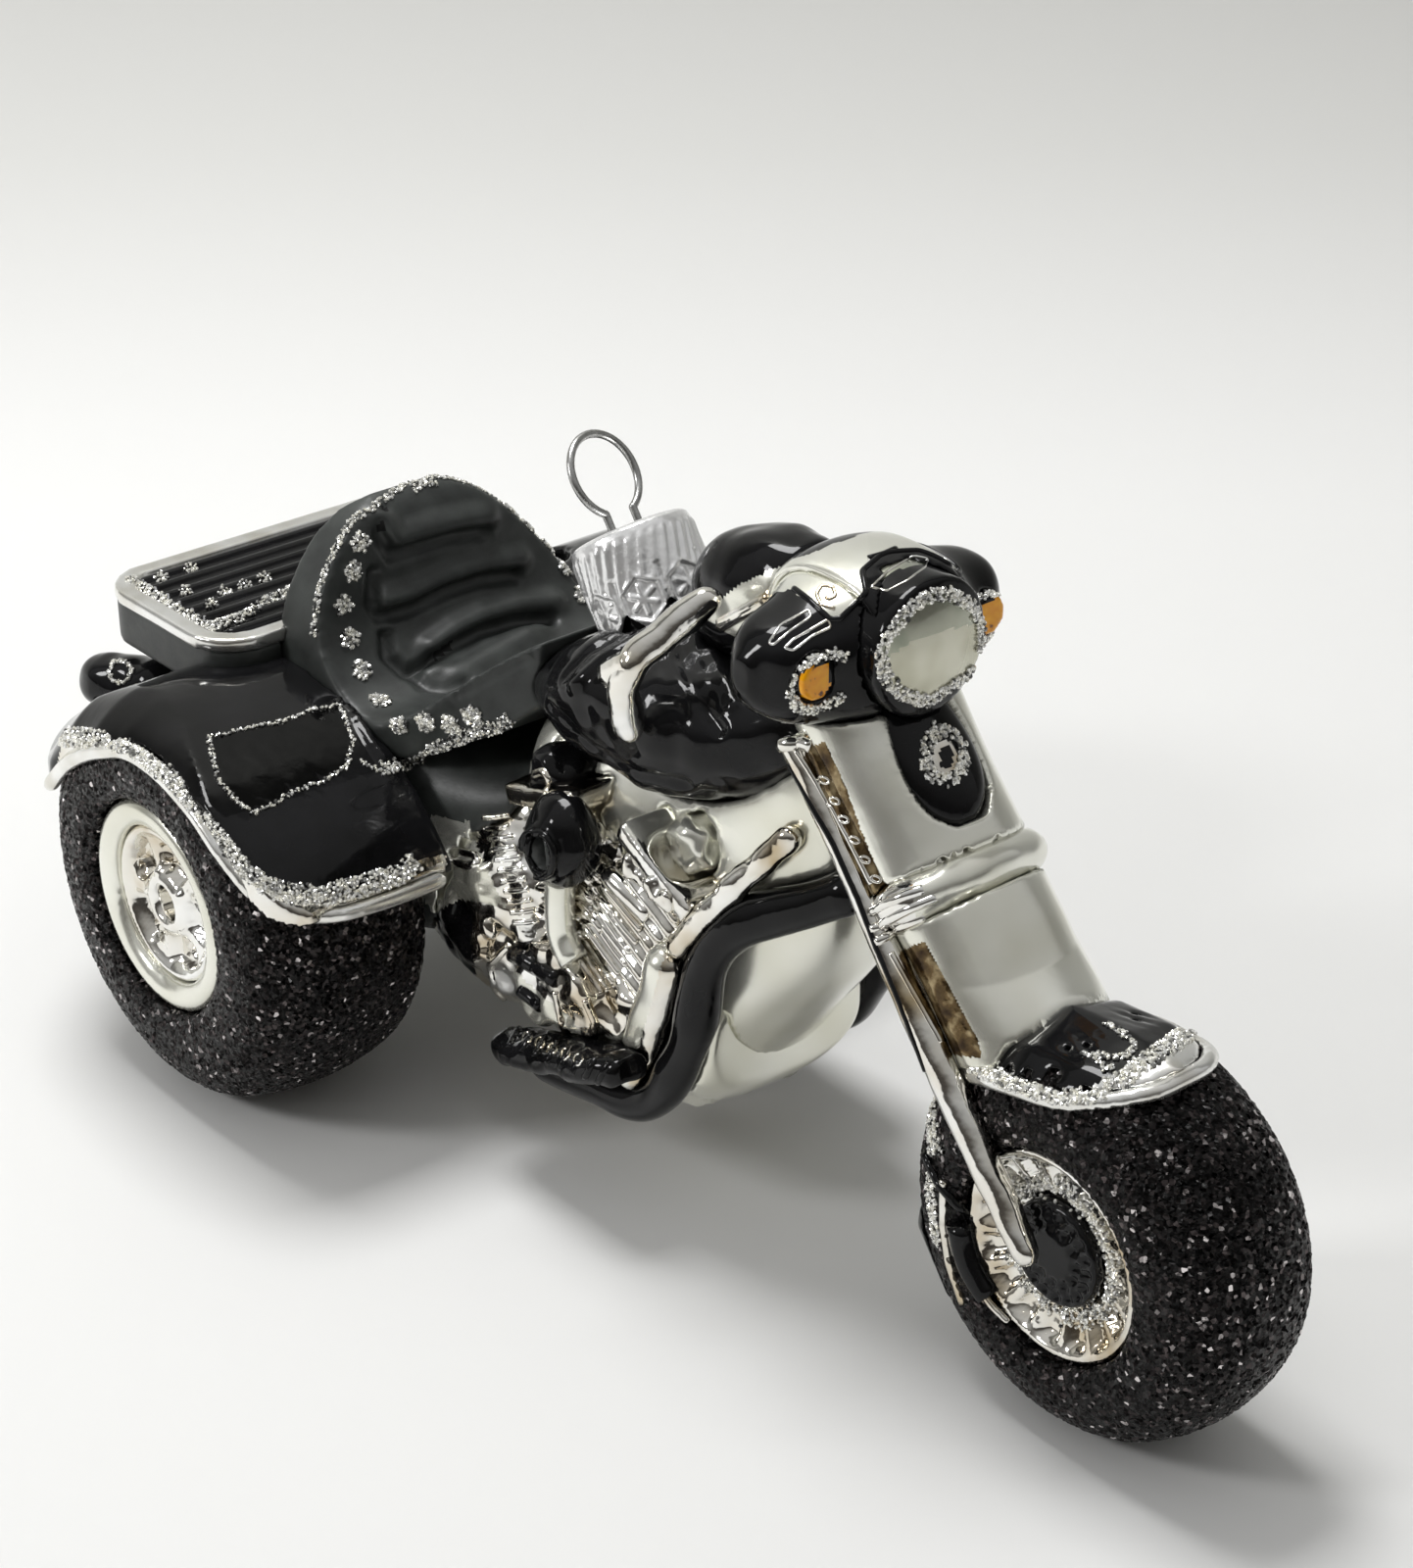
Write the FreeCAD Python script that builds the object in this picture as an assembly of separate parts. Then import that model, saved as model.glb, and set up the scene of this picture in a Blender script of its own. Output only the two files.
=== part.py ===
import FreeCAD, Part
import math
import os

# A blown-glass tree ornament in the shape of a three-wheeled motorcycle, in millimetres.
# +X points to the front wheel, +Y to the trike's left side, +Z up, and z = 0 is the floor.
# The forms are laid out from the rear axle, and finish() moves them so that the origin is
# under the middle of the whole ornament.

# Wheels
WHEELBASE = 103.7
REAR_R = 23.8
REAR_FACE_Y = 38.3
REAR_TYRE_W = 20.1
REAR_RIM_R = 12.1
REAR_HUB_R = 9.0
REAR_HOLE_R = 1.9
FRONT_R = 20.4
FRONT_TYRE_W = 18.7
FRONT_RIM_R = 10.8
FRONT_DISC_R = 5.4
SIDEWALL_BULGE = 1.5
RELIEF = 0.8

# Rear body, fenders and rack
FENDER_OUT_Y = 39.5
FENDER_IN_Y = 17.0
FENDER_CROWN_Y = 30.0
FENDER_CORNER_R = 6.0
TAIL_Y = -26.0
TAIL_CORNER_X = -19.0
CROWN_Z = 45.6
LIP_BEAD_R = 0.9
RACK_REAR_X = -30.3
RACK_FRONT_X = -5.0
RACK_MID_Y = -4.4
RACK_HALF_W = 21.4
RACK_TOP_Z = 48.4
RACK_RIM_W = 2.4
RACK_T = 1.6
RACK_CORNER_R = 6.0
SLAT_COUNT = 8
SLAT_T = 1.0
TRUNK_HALF_W = 20.2
TRUNK_LOW_Z = 41.0
TAIL_LIGHT_POS = (-31.0, -25.0, 35.2)
TAIL_LIGHT_LEN = 7.0
TAIL_LIGHT_R = 3.3

# The middle of the body stretches between its rear end and the fork, so its stations are
# (share of the way, half width, low z, high z)
BODY_REAR_X = 27.5
BODY_FRONT_X = WHEELBASE - 35.7
TANK = [(0.0, 7.0, 49.5, 54.6), (0.136, 11.6, 48.0, 57.2), (0.358, 14.0, 46.4, 62.1),
        (0.63, 13.4, 46.6, 62.6), (0.852, 10.4, 50.6, 62.6), (1.0, 6.0, 55.6, 61.0)]
DASH = [(0.467, 2.0, 64.0, 69.0), (0.543, 4.6, 61.0, 72.6), (0.667, 5.6, 61.0, 74.8),
        (0.802, 5.2, 61.0, 75.4), (0.901, 4.4, 62.0, 74.0)]
BELLY = [(0.037, 9.0, 28.0, 48.5), (0.309, 12.0, 9.0, 50.0), (0.556, 11.0, 9.0, 51.0),
         (0.802, 9.4, 20.0, 56.0), (1.0, 8.0, 30.6, 60.0), (1.099, 6.0, 40.0, 60.0)]

# Seat
SEAT_HALF_W = 17.5
SEAT_TOP_Z = 61.6
SEAT_BACK_X = -6.0
SEAT_ROUND_Z = 44.0
SEAT_LOW_Z = 43.2
SEAT_NOSE_X = 31.0

# The backrest from the front, as shares of its half width and of its rise over SEAT_ROUND_Z
SEAT_ROUND = [(-1.0, 0.0), (-0.95, 0.36), (-0.79, 0.68), (-0.54, 0.9), (-0.23, 1.0), (0.06, 0.99),
              (0.37, 0.875), (0.68, 0.58), (0.9, 0.28), (1.0, 0.0)]

# Neck and cap, on an axis that leans back from the vertical
NECK_LEAN_DEG = 35.4
CAP_TOP_X = 33.4
CAP_TOP_Z = 67.6
CAP_R = 6.5
CAP_H = 8.2
CAP_TAB_H = 2.6
CAP_WALL = 0.5
CAP_TABS = 8
NECK_CLEAR = 0.4
NECK_WALL = 1.1
NECK_DEPTH = 24.0
SEAT_GAP = 0.2

# Wire hanger
WIRE_R = 0.42
RING_R = 4.4
RING_RISE = 6.0
LEG_GAP = 4.0
LEG_SPREAD = 6.2
LEG_STRAIGHT = 4.5
LEG_LEN = 19.0
WIRE_CLEAR = 0.35
HANGER_TURN_DEG = 10.0

# Fork, with its legs in one plane that leans back with the rake
FORK_RAKE_DEG = 39.5
LEG_TOP_Y = 8.3
LEG_FOOT_Y = 10.3
LEG_SET_BACK = 2.6
FORK_LEG_R = 1.35
FORK_LEN = 52.5
COVER_HALF_W = 8.6
COVER_FRONT = 5.8
COVER_BACK = 4.2
COVER_START = -6.0
COVER_LEN = 44.0
FOOT_R = 1.3
LOWER_LEG_R = 1.6
CLAMP_AT = 17.6
CLAMP_H = 4.4
CLAMP_PROUD = 1.1
CLAMP_HALF_W = 9.9
CHANNEL_START = -0.5
CLAMP_BACK = 5.0

# Headlamp housing
LAMP_X = WHEELBASE - 25.9
LAMP_Z = FRONT_R + 49.8
LAMP_R = 5.8
LAMP_RING_W = 1.1
NACELLE_HALF_W = 15.6
SIGNAL_POS = (LAMP_X - 4.8, -10.7, LAMP_Z - 1.1)
SIGNAL_R = 2.1
VISOR_HALF_W = 5.6
VISOR_PROUD = 0.9

# Front fender, measured from the front axle
# (degrees round the axle, ridge radius, half width and radius of its shoulder, and of its edge)
GUARD_ROWS = [(223, 21.0, 6.4, 19.8, 8.0, 17.6), (200, 21.2, 6.8, 20.0, 8.2, 17.6),
              (140, 21.2, 6.6, 20.0, 8.2, 17.6), (126, 20.9, 6.3, 20.1, 8.2, 17.6),
              (107, 21.8, 6.0, 20.1, 8.7, 17.0), (88, 21.3, 5.9, 19.9, 8.5, 17.3),
              (78, 21.6, 5.2, 20.2, 7.4, 18.4), (71, 21.8, 3.2, 21.0, 5.3, 20.0),
              (68.5, 21.9, 2.0, 21.6, 3.0, 21.0)]
# (degrees, radius, half width) of the bead round its lower edge, up to the middle of its front
GUARD_LIP = [(128, 18.1, 7.9), (114, 17.2, 8.6), (100, 16.9, 8.7), (88.5, 17.0, 8.2), (80, 18.1, 7.3),
             (72.5, 19.9, 5.4), (69, 20.9, 2.9)]

# Engine, belly, bars and footboards
CASE_HALF_W = 14.5
CYL_R = 4.8
FIN_R = 5.6
HEAD_H = 2.6
CYL_FOOT = 8.0
FRONT_CYL_LEN = 18.0
REAR_CYL_LEN = 17.0
FIN_T = 1.0
FIN_PITCH = 2.1
FRONT_CYL_LEAN_DEG = 28.0
REAR_CYL_LEAN_DEG = -16.0
CRANK_X = 42.5
CRANK_Z = 20.0
DOWN_TUBE_R = 1.4
SIDE_TUBE_R = 2.4
ROCKER_R = 3.2
BAR_R = 2.3
HORN_R = 2.4
HORN_X = 39.2
HORN_Y = 17.2
HORN_Z = 39.6
BALL_SHARE = 0.97
HANDLEBAR_R = 1.6

V = FreeCAD.Vector


def mirrored(shape):
    """The same form on the trike's left side."""
    return shape.mirror(V(0, 0, 0), V(0, 1, 0))


def spline(points, closed=False):
    curve = Part.BSplineCurve()
    curve.interpolate(Points=[V(*p) for p in points], PeriodicFlag=closed)
    return curve.toShape()


def oval(centre, across, up, half_across, half_up, squareness=2.4, count=12):
    """A closed soft-cornered section, across and up being its two directions."""
    points = []
    for i in range(count):
        turn = 2 * math.pi * i / count
        c, s = math.cos(turn), math.sin(turn)
        a = half_across * math.copysign(abs(c) ** (2 / squareness), c)
        b = half_up * math.copysign(abs(s) ** (2 / squareness), s)
        point = V(*centre) + V(*across) * a + V(*up) * b
        points.append((point.x, point.y, point.z))
    return Part.Wire([spline(points, closed=True)])


def loft(wires):
    return Part.makeLoft(wires, True, False)


def body_along_x(stations, squareness=2.6):
    """A soft body from sections (x, half width, low z, high z)."""
    wires = []
    for x, half, low, high in stations:
        wires.append(oval((x, 0, (low + high) / 2), (0, 1, 0), (0, 0, 1),
                          half, (high - low) / 2, squareness))
    return loft(wires)


def bar(points, radius):
    """A round bar: straight runs joined by arcs as large as the runs allow, with round ends."""
    points = [V(*p) for p in points]
    edges = []
    start = points[0]
    for i in range(1, len(points) - 1):
        to_last = (points[i - 1] - points[i]).normalize()
        to_next = (points[i + 1] - points[i]).normalize()
        reach = 0.45 * min((points[i - 1] - points[i]).Length, (points[i + 1] - points[i]).Length)
        half_open = to_last.getAngle(to_next) / 2
        bend = reach * math.tan(half_open)
        bisector = (to_last + to_next).normalize()
        middle = points[i] + bisector * (bend / math.sin(half_open) - bend)
        enter, leave = points[i] + to_last * reach, points[i] + to_next * reach
        edges.append(Part.makeLine(start, enter))
        edges.append(Part.Arc(enter, middle, leave).toShape())
        start = leave
    edges.append(Part.makeLine(start, points[-1]))
    profile = Part.Wire([Part.makeCircle(radius, points[0], points[1] - points[0])])
    pipe = Part.Wire(edges).makePipeShell([profile], True, False)
    ends = [Part.makeSphere(radius * BALL_SHARE, points[0]), Part.makeSphere(radius * BALL_SHARE, points[-1])]
    return pipe.multiFuse(ends)


def prism(outline, y_low, y_high):
    """A solid between two planes of constant y, from an outline of (x, z) points."""
    corners = [V(x, y_low, z) for x, z in outline]
    face = Part.Face(Part.makePolygon(corners + corners[:1]))
    return face.extrude(V(0, y_high - y_low, 0))


def ring_solid(outline, axle_x, axle_z):
    """Turns an outline of (y, r) points about an axle that runs across the trike."""
    corners = [V(axle_x, y, axle_z + r) for y, r in outline]
    face = Part.Face(Part.makePolygon(corners + corners[:1]))
    return face.revolve(V(axle_x, 0, axle_z), V(0, 1, 0), 360)


# Where a tyre's crown turns into its shoulder, the shoulder's middle and its end,
# as shares of the tyre's half width and of its height over the rim
SQUARE_SHOULDER = [(0.64, 0.91), (0.88, 0.72), (0.99, 0.40)]
ROUND_SHOULDER = [(0.60, 0.89), (0.84, 0.69), (0.98, 0.40)]


def tyre(axle_x, radius, rim_r, y_low, y_high, shoulder):
    """A fat tyre: a nearly flat crown, round shoulders and bulging sidewalls down to the rim."""
    middle = (y_low + y_high) / 2
    half = (y_high - y_low) / 2
    height = radius - rim_r

    def at(across, up):
        return V(axle_x, middle + across * half, radius + rim_r + up * height)

    turn, middle_point, end = shoulder
    crown = Part.Arc(at(-turn[0], turn[1]), at(0, 1), at(*turn)).toShape()
    edges = [crown, Part.makeLine(at(0.94, 0), at(-0.94, 0))]
    for side in (-1, 1):
        points = [at(side * across, up) for across, up in (turn, middle_point, end)]
        edges.append(Part.Arc(*points).toShape())
        edges.append(Part.Arc(points[-1], at(side, 0.20), at(side * 0.94, 0)).toShape())
    wire = Part.Wire(Part.__sortEdges__(edges))
    return Part.Face(wire).revolve(V(axle_x, 0, radius), V(0, 1, 0), 360)


# Rear wheels, made on the right side at negative y
def rear_tyre():
    y_low = -REAR_FACE_Y - SIDEWALL_BULGE
    return tyre(0, REAR_R, REAR_RIM_R, y_low, y_low + REAR_TYRE_W + 2 * SIDEWALL_BULGE, SQUARE_SHOULDER)


def rear_rim():
    inner = -REAR_FACE_Y + REAR_TYRE_W
    face = -REAR_FACE_Y
    return ring_solid([(inner, REAR_HUB_R), (inner, REAR_RIM_R), (face, REAR_RIM_R),
                       (face - RELIEF, REAR_RIM_R - RELIEF), (face - RELIEF, REAR_HUB_R + 1.4),
                       (face, REAR_HUB_R)], 0, REAR_R)


def rear_hub():
    inner = -REAR_FACE_Y + REAR_TYRE_W
    face = -REAR_FACE_Y + RELIEF
    disc = ring_solid([(inner, 0), (inner, REAR_HUB_R), (face, REAR_HUB_R), (face, REAR_HUB_R - 1),
                       (face + RELIEF / 2, REAR_HUB_R - 1.6), (face + RELIEF / 2, 4.2), (face, 3.6),
                       (face, REAR_HOLE_R), (face + 2 * RELIEF, REAR_HOLE_R), (face + 2 * RELIEF, 0)],
                      0, REAR_R)
    for i in range(5):
        turn = math.radians(72 * i + 20)
        centre = V(5.8 * math.cos(turn), face - RELIEF, REAR_R + 5.8 * math.sin(turn))
        disc = disc.cut(Part.makeCylinder(1.2, 3 * RELIEF, centre, V(0, 1, 0)))
    return disc


# The front wheel
def front_tyre():
    half = FRONT_TYRE_W / 2
    return tyre(WHEELBASE, FRONT_R, FRONT_RIM_R, -half, half, ROUND_SHOULDER)


def front_rim():
    half = FRONT_TYRE_W / 2 - SIDEWALL_BULGE
    inner = half - 2 * RELIEF
    return ring_solid([(-inner, 0), (-inner, FRONT_DISC_R), (-half, FRONT_RIM_R - 1.2), (-half, FRONT_RIM_R),
                       (half, FRONT_RIM_R), (half, FRONT_RIM_R - 1.2), (inner, FRONT_DISC_R), (inner, 0)],
                      WHEELBASE, FRONT_R)


def brake_disc():
    inner = -(FRONT_TYRE_W / 2 - SIDEWALL_BULGE) + 2 * RELIEF
    return ring_solid([(inner, 0), (inner, FRONT_DISC_R), (inner - 1.2, FRONT_DISC_R),
                       (inner - 1.5, FRONT_DISC_R - 0.4), (inner - 1.5, 0)], WHEELBASE, FRONT_R)


# Fenders: the side outline, rounded by the outlines from above and from the front
LIP_LINE = [(-32.0, 30.0), (-26.0, 30.2), (-19.3, 31.3), (-15.5, 35.2), (-10.1, 38.7), (-1.6, 42.3),
            (5.1, 42.1), (11.4, 40.0), (15.6, 37.2), (19.8, 33.4), (24.6, 30.4)]
CROWN_LINE = [(24.6, 31.6), (19.8, 37.0), (15.0, 40.6), (5.0, 44.3), (-4.0, 45.4), (-10.0, 44.6),
              (-15.0, 42.2), (-21.0, 38.8), (-27.0, 35.0), (-30.4, 32.4), (-32.0, 30.9)]
# The fender from the front, as (x, y where the flat top ends, top z, a point of the round, side z)
CROWN_DROPS = [(-33.0, -24.0, 32.5, -31.0, 30.0, 21.0), (-25.0, -28.0, 37.0, -34.0, 34.0, 26.0),
               (-19.0, -31.0, 40.2, -36.5, 38.0, 32.8), (-15.0, -31.5, 42.6, -36.9, 41.2, 36.6),
               (-9.0, -30.5, 45.2, -36.9, 43.4, 40.2), (-4.0, -30.0, 45.6, -36.9, 43.8, 40.6),
               (26.0, -30.0, 45.6, -36.9, 43.8, 40.6)]


def side_face(curves, y):
    """A face in a plane of constant y, from smooth curves that meet end to end or across a gap."""
    edges = []
    for i, curve in enumerate(curves):
        edges.append(spline([(x, y, z) for x, z in curve]))
        end, start = curve[-1], curves[(i + 1) % len(curves)][0]
        if end != start:
            edges.append(Part.makeLine(V(end[0], y, end[1]), V(start[0], y, start[1])))
    return Part.Face(Part.Wire(edges))


def over_lip():
    """The room above the fender's lower edge: the fender fills it, and the tyre stays out of it."""
    high = RACK_TOP_Z + 5
    roof = [(LIP_LINE[-1][0], high), (LIP_LINE[0][0], high)]
    y = -FENDER_OUT_Y - 4
    return side_face([LIP_LINE, roof], y).extrude(V(0, FENDER_OUT_Y + 4, 0))


def fender_plan():
    """The fender's outline from above: a small round at its front, a large one at its tail."""
    first, last = LIP_LINE[0][0], LIP_LINE[-1][0]
    out, inner, small = -FENDER_OUT_Y, -FENDER_IN_Y, FENDER_CORNER_R
    tail = spline([(first, TAIL_Y, 0), (first + 1.8, TAIL_Y - 5.4, 0), (first + 7.0, out + 3.0, 0),
                   (TAIL_CORNER_X, out, 0)])
    dip = small * (1 - math.sqrt(0.5))
    corner = Part.Arc(V(last - small, out, 0), V(last - dip, out + dip, 0), V(last, out + small, 0)).toShape()
    rest = Part.makePolygon([V(last, out + small, 0), V(last, inner, 0), V(first, inner, 0),
                             V(first, TAIL_Y, 0)])
    side = Part.makeLine(V(TAIL_CORNER_X, out, 0), V(last - small, out, 0))
    return Part.Face(Part.Wire([tail, side, corner] + rest.Edges)).extrude(V(0, 0, RACK_TOP_Z + 5))


def fender_crown():
    """The fender from the front: flat on top, then round down to its outer side, lower at the tail."""
    wires = []
    for x, turn_y, top_z, mid_y, mid_z, side_z in CROWN_DROPS:
        out = -FENDER_OUT_Y - 0.5
        top = V(x, -FENDER_IN_Y, top_z)
        turn = V(x, turn_y, top_z)
        side = V(x, out, side_z)
        low = V(x, out, 0)
        inner = V(x, -FENDER_IN_Y, 0)
        round_down = Part.Arc(turn, V(x, mid_y, mid_z), side).toShape()
        rest = Part.makePolygon([side, low, inner, top, turn])
        wires.append(Part.Wire([round_down] + rest.Edges))
    return Part.makeLoft(wires, True, True)


def fender():
    body = side_face([LIP_LINE, CROWN_LINE], -FENDER_OUT_Y).extrude(V(0, FENDER_OUT_Y - FENDER_IN_Y, 0))
    return body.common(fender_plan()).common(fender_crown())


def fender_lip():
    points = [(x, -FENDER_OUT_Y, z) for x, z in LIP_LINE[2:-2]]
    points += [(19.6, -38.4, 33.6), (22.0, -36.2, 31.6), (24.2, -32.0, 30.6), (24.8, -26.0, 30.4),
               (24.8, -19.0, 30.4)]
    return bar(points, LIP_BEAD_R)


def trunk():
    length = RACK_FRONT_X - RACK_REAR_X + 1.0
    box = Part.makeBox(length, 2 * TRUNK_HALF_W, RACK_TOP_Z - RACK_T - TRUNK_LOW_Z,
                       V(RACK_REAR_X - 1.0, RACK_MID_Y - TRUNK_HALF_W, TRUNK_LOW_Z))
    edges = [e for e in box.Edges if abs(e.Vertexes[0].Z - e.Vertexes[1].Z) > 1]
    return box.makeFillet(RACK_CORNER_R - 1, edges)


def rack_plate(inset, low, high):
    length = RACK_FRONT_X - RACK_REAR_X - 2 * inset
    box = Part.makeBox(length, 2 * (RACK_HALF_W - inset), high - low,
                       V(RACK_REAR_X + inset, RACK_MID_Y - RACK_HALF_W + inset, low))
    edges = [e for e in box.Edges if abs(e.Vertexes[0].Z - e.Vertexes[1].Z) > 0.1]
    return box.makeFillet(RACK_CORNER_R - inset, edges)


def rack_frame():
    low = RACK_TOP_Z - RACK_T
    return rack_plate(0, low, RACK_TOP_Z).cut(rack_plate(RACK_RIM_W, low + RACK_T / 3, RACK_TOP_Z + 1))


def rack_slats():
    low = RACK_TOP_Z - RACK_T * 2 / 3
    slats = []
    inside = RACK_FRONT_X - RACK_REAR_X - 2 * RACK_RIM_W
    pitch = inside / SLAT_COUNT
    base = rack_plate(RACK_RIM_W, low, low + 0.4)
    for i in range(SLAT_COUNT):
        x = RACK_REAR_X + RACK_RIM_W + (i + 0.5) * pitch
        half = RACK_HALF_W - RACK_RIM_W - 1.2
        slat = Part.makeCylinder(pitch * 0.36, 2 * half, V(x, RACK_MID_Y - half, low + 0.2), V(0, 1, 0))
        slats.append(slat.common(rack_plate(RACK_RIM_W, low, RACK_TOP_Z + SLAT_T)))
    return base.multiFuse(slats).removeSplitter()


def tail_light():
    x, y, z = TAIL_LIGHT_POS
    return bar([(x, y, z), (x + TAIL_LIGHT_LEN, y + 2.5, z + 1)], TAIL_LIGHT_R)


# Seat: the side outline, narrowed by the outlines from the front and from above
def seat():
    top = spline([(-3.8, 0, SEAT_TOP_Z), (-1.4, 0, 59.8), (0.2, 0, 54.6), (1.4, 0, 49.7), (4.6, 0, 45.3),
                  (9.5, 0, SEAT_LOW_Z), (14.5, 0, 44.4), (20, 0, 48.5), (26, 0, 53.6), (SEAT_NOSE_X, 0, 57)])
    low = Part.makePolygon([V(SEAT_NOSE_X, 0, 57), V(SEAT_NOSE_X, 0, 50), V(26, 0, 45.5), V(15.5, 0, 40),
                            V(4, 0, 38.4), V(SEAT_BACK_X, 0, 38.4), V(SEAT_BACK_X, 0, 52),
                            V(-5.4, 0, 60.0), V(-3.8, 0, SEAT_TOP_Z)])
    side = Part.Face(Part.Wire([top] + low.Edges)).extrude(V(0, 2 * SEAT_HALF_W, 0))
    side.translate(V(0, -SEAT_HALF_W, 0))
    rise = SEAT_TOP_Z + 0.2 - SEAT_ROUND_Z
    crown = [(SEAT_BACK_X - 1, a * SEAT_HALF_W, SEAT_ROUND_Z + b * rise) for a, b in SEAT_ROUND]
    foot = Part.makeLine(V(*crown[-1]), V(*crown[0]))
    front = Part.Face(Part.Wire([spline(crown), foot])).extrude(V(SEAT_NOSE_X + 10, 0, 0))
    base = Part.makeBox(SEAT_NOSE_X + 10, 2 * SEAT_HALF_W, SEAT_ROUND_Z, V(SEAT_BACK_X - 1, -SEAT_HALF_W, 0))
    plan = Part.makePolygon([V(SEAT_BACK_X - 1, -SEAT_HALF_W, 0), V(12, -SEAT_HALF_W, 0), V(22, -14, 0),
                             V(SEAT_NOSE_X + 1, -9, 0), V(SEAT_NOSE_X + 1, 9, 0), V(22, 14, 0),
                             V(12, SEAT_HALF_W, 0), V(SEAT_BACK_X - 1, SEAT_HALF_W, 0),
                             V(SEAT_BACK_X - 1, -SEAT_HALF_W, 0)])
    plan = Part.Face(plan).extrude(V(0, 0, SEAT_TOP_Z + 5))
    return side.common(front.fuse(base)).common(plan)


# Neck, cap and hanger share one leaning axis
LEAN = math.radians(NECK_LEAN_DEG)
AXIS = V(-math.sin(LEAN), 0, math.cos(LEAN))
CAP_TOP = V(CAP_TOP_X, 0, CAP_TOP_Z)
NECK_R = CAP_R - CAP_WALL - NECK_CLEAR
BORE_R = NECK_R - NECK_WALL


def down_axis(distance):
    """The point on the neck's axis this far below the cap's top."""
    return CAP_TOP - AXIS * distance


def turned(shape):
    """The hanger and its two holes stand a little turned on the neck's axis."""
    shape.rotate(CAP_TOP, AXIS, HANGER_TURN_DEG)
    return shape


def neck_rod(radius, start, length):
    return Part.makeCylinder(radius, length, down_axis(start + length), AXIS)


def cap_neck():
    start = CAP_WALL + SEAT_GAP
    length = CAP_H + 4.0
    return neck_rod(NECK_R, start, length).cut(neck_rod(BORE_R, start - 1, length + 2))


def neck_cavity():
    return neck_rod(BORE_R, CAP_WALL, NECK_DEPTH)


def cap():
    height = CAP_H + CAP_TAB_H
    shoulder = 1.2
    outer = neck_rod(CAP_R, 0, height)
    top_edges = [e for e in outer.Edges if (e.CenterOfMass - CAP_TOP).Length < 0.1]
    outer = outer.makeFillet(shoulder, top_edges)
    shell = outer.cut(neck_rod(CAP_R - CAP_WALL, CAP_WALL, height))
    side = V(0, 1, 0).cross(AXIS)
    for i in range(CAP_TABS):
        turn = 360.0 * (i + 0.5) / CAP_TABS
        half = math.pi * CAP_R / CAP_TABS
        low = down_axis(height + 0.5)
        tip = down_axis(CAP_H)
        out = side * (CAP_R + 2)
        notch = Part.makePolygon([low + V(0, -half, 0), tip, low + V(0, half, 0), low + V(0, -half, 0)])
        notch = Part.Face(notch).extrude(out)
        notch.rotate(CAP_TOP, AXIS, turn)
        shell = shell.cut(notch)
    for sign in (-1, 1):
        hole = Part.makeCylinder(WIRE_R + WIRE_CLEAR, 4, down_axis(2) + V(0, sign * LEG_GAP / 2, 0), AXIS)
        shell = shell.cut(turned(hole))
    return shell


def hanger():
    """One wire: a leg, the ring open at its foot, and the other leg."""
    centre = CAP_TOP + AXIS * RING_RISE
    open_half = math.asin(LEG_GAP / 2 / RING_R)

    def at(turn):
        return centre - AXIS * (RING_R * math.cos(turn)) + V(0, RING_R * math.sin(turn), 0)

    def leg_point(sign, depth, half):
        return down_axis(depth) + V(0, sign * half, 0)

    start, end = at(-open_half), at(open_half)
    ring = Part.Arc(start, at(math.pi), end).toShape()
    edges = [ring]
    for sign, top in ((1, end), (-1, start)):
        straight = leg_point(sign, LEG_STRAIGHT, LEG_GAP / 2)
        wide = leg_point(sign, (LEG_STRAIGHT + LEG_LEN) / 2, LEG_SPREAD / 2)
        foot = leg_point(sign, LEG_LEN, LEG_SPREAD / 2 - 0.4)
        edges.append(Part.makeLine(top, straight))
        edges.append(Part.makeLine(straight, wide))
        edges.append(Part.makeLine(wide, foot))
    pieces = []
    for edge in edges:
        a = edge.valueAt(edge.FirstParameter)
        tangent = edge.tangentAt(edge.FirstParameter)
        profile = Part.Wire([Part.makeCircle(WIRE_R, a, tangent)])
        pieces.append(Part.Wire([edge]).makePipeShell([profile], True, False))
    joints = [e.valueAt(e.FirstParameter) for e in edges[1:]]
    joints += [e.valueAt(e.LastParameter) for e in edges[1:]]
    balls = [Part.makeSphere(WIRE_R, p) for p in joints]
    wire = pieces[0].multiFuse(pieces[1:] + balls).removeSplitter()
    return turned(wire)


# Tank and dash
def stretched(stations):
    """A soft body whose stations are shares of the way from the body's rear end to the fork."""
    length = BODY_FRONT_X - BODY_REAR_X
    return body_along_x([(BODY_REAR_X + share * length, *size) for share, *size in stations])


def tank():
    landing = neck_rod(CAP_R + NECK_CLEAR, -4.0, CAP_H + CAP_TAB_H + NECK_CLEAR + 4.0)
    return stretched(TANK).cut(neck_cavity()).cut(landing)


def dash():
    return stretched(DASH)


# Headlamp housing, from sections along Y
def housing(stations):
    wires = []
    for y, x_back, x_front, low, high in stations:
        wires.append(oval(((x_back + x_front) / 2, y, (low + high) / 2), (1, 0, 0), (0, 0, 1),
                          (x_front - x_back) / 2, (high - low) / 2, 2.5))
    return loft(wires)


# (y, how far its back and its front lie behind the lamp's face, low z, high z)
NACELLE_STATIONS = [(0.0, 16.8, 0.0, -7.8, 6.4), (6.0, 15.8, 1.0, -7.8, 5.4), (8.6, 14.4, 3.0, -7.6, 4.3),
                    (11.2, 13.4, 4.0, -6.8, 3.8), (14.2, 11.8, 5.6, -5.0, 2.4),
                    (NACELLE_HALF_W, 10.2, 7.4, -2.8, 0.6)]


def nacelle(grow=0.0):
    half = [(y, LAMP_X - back - grow, LAMP_X - front + grow, LAMP_Z + low - grow, LAMP_Z + high + grow)
            for y, back, front, low, high in NACELLE_STATIONS]
    whole = [(-s[0], *s[1:]) for s in reversed(half[1:])] + half
    return housing(whole)


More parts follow.
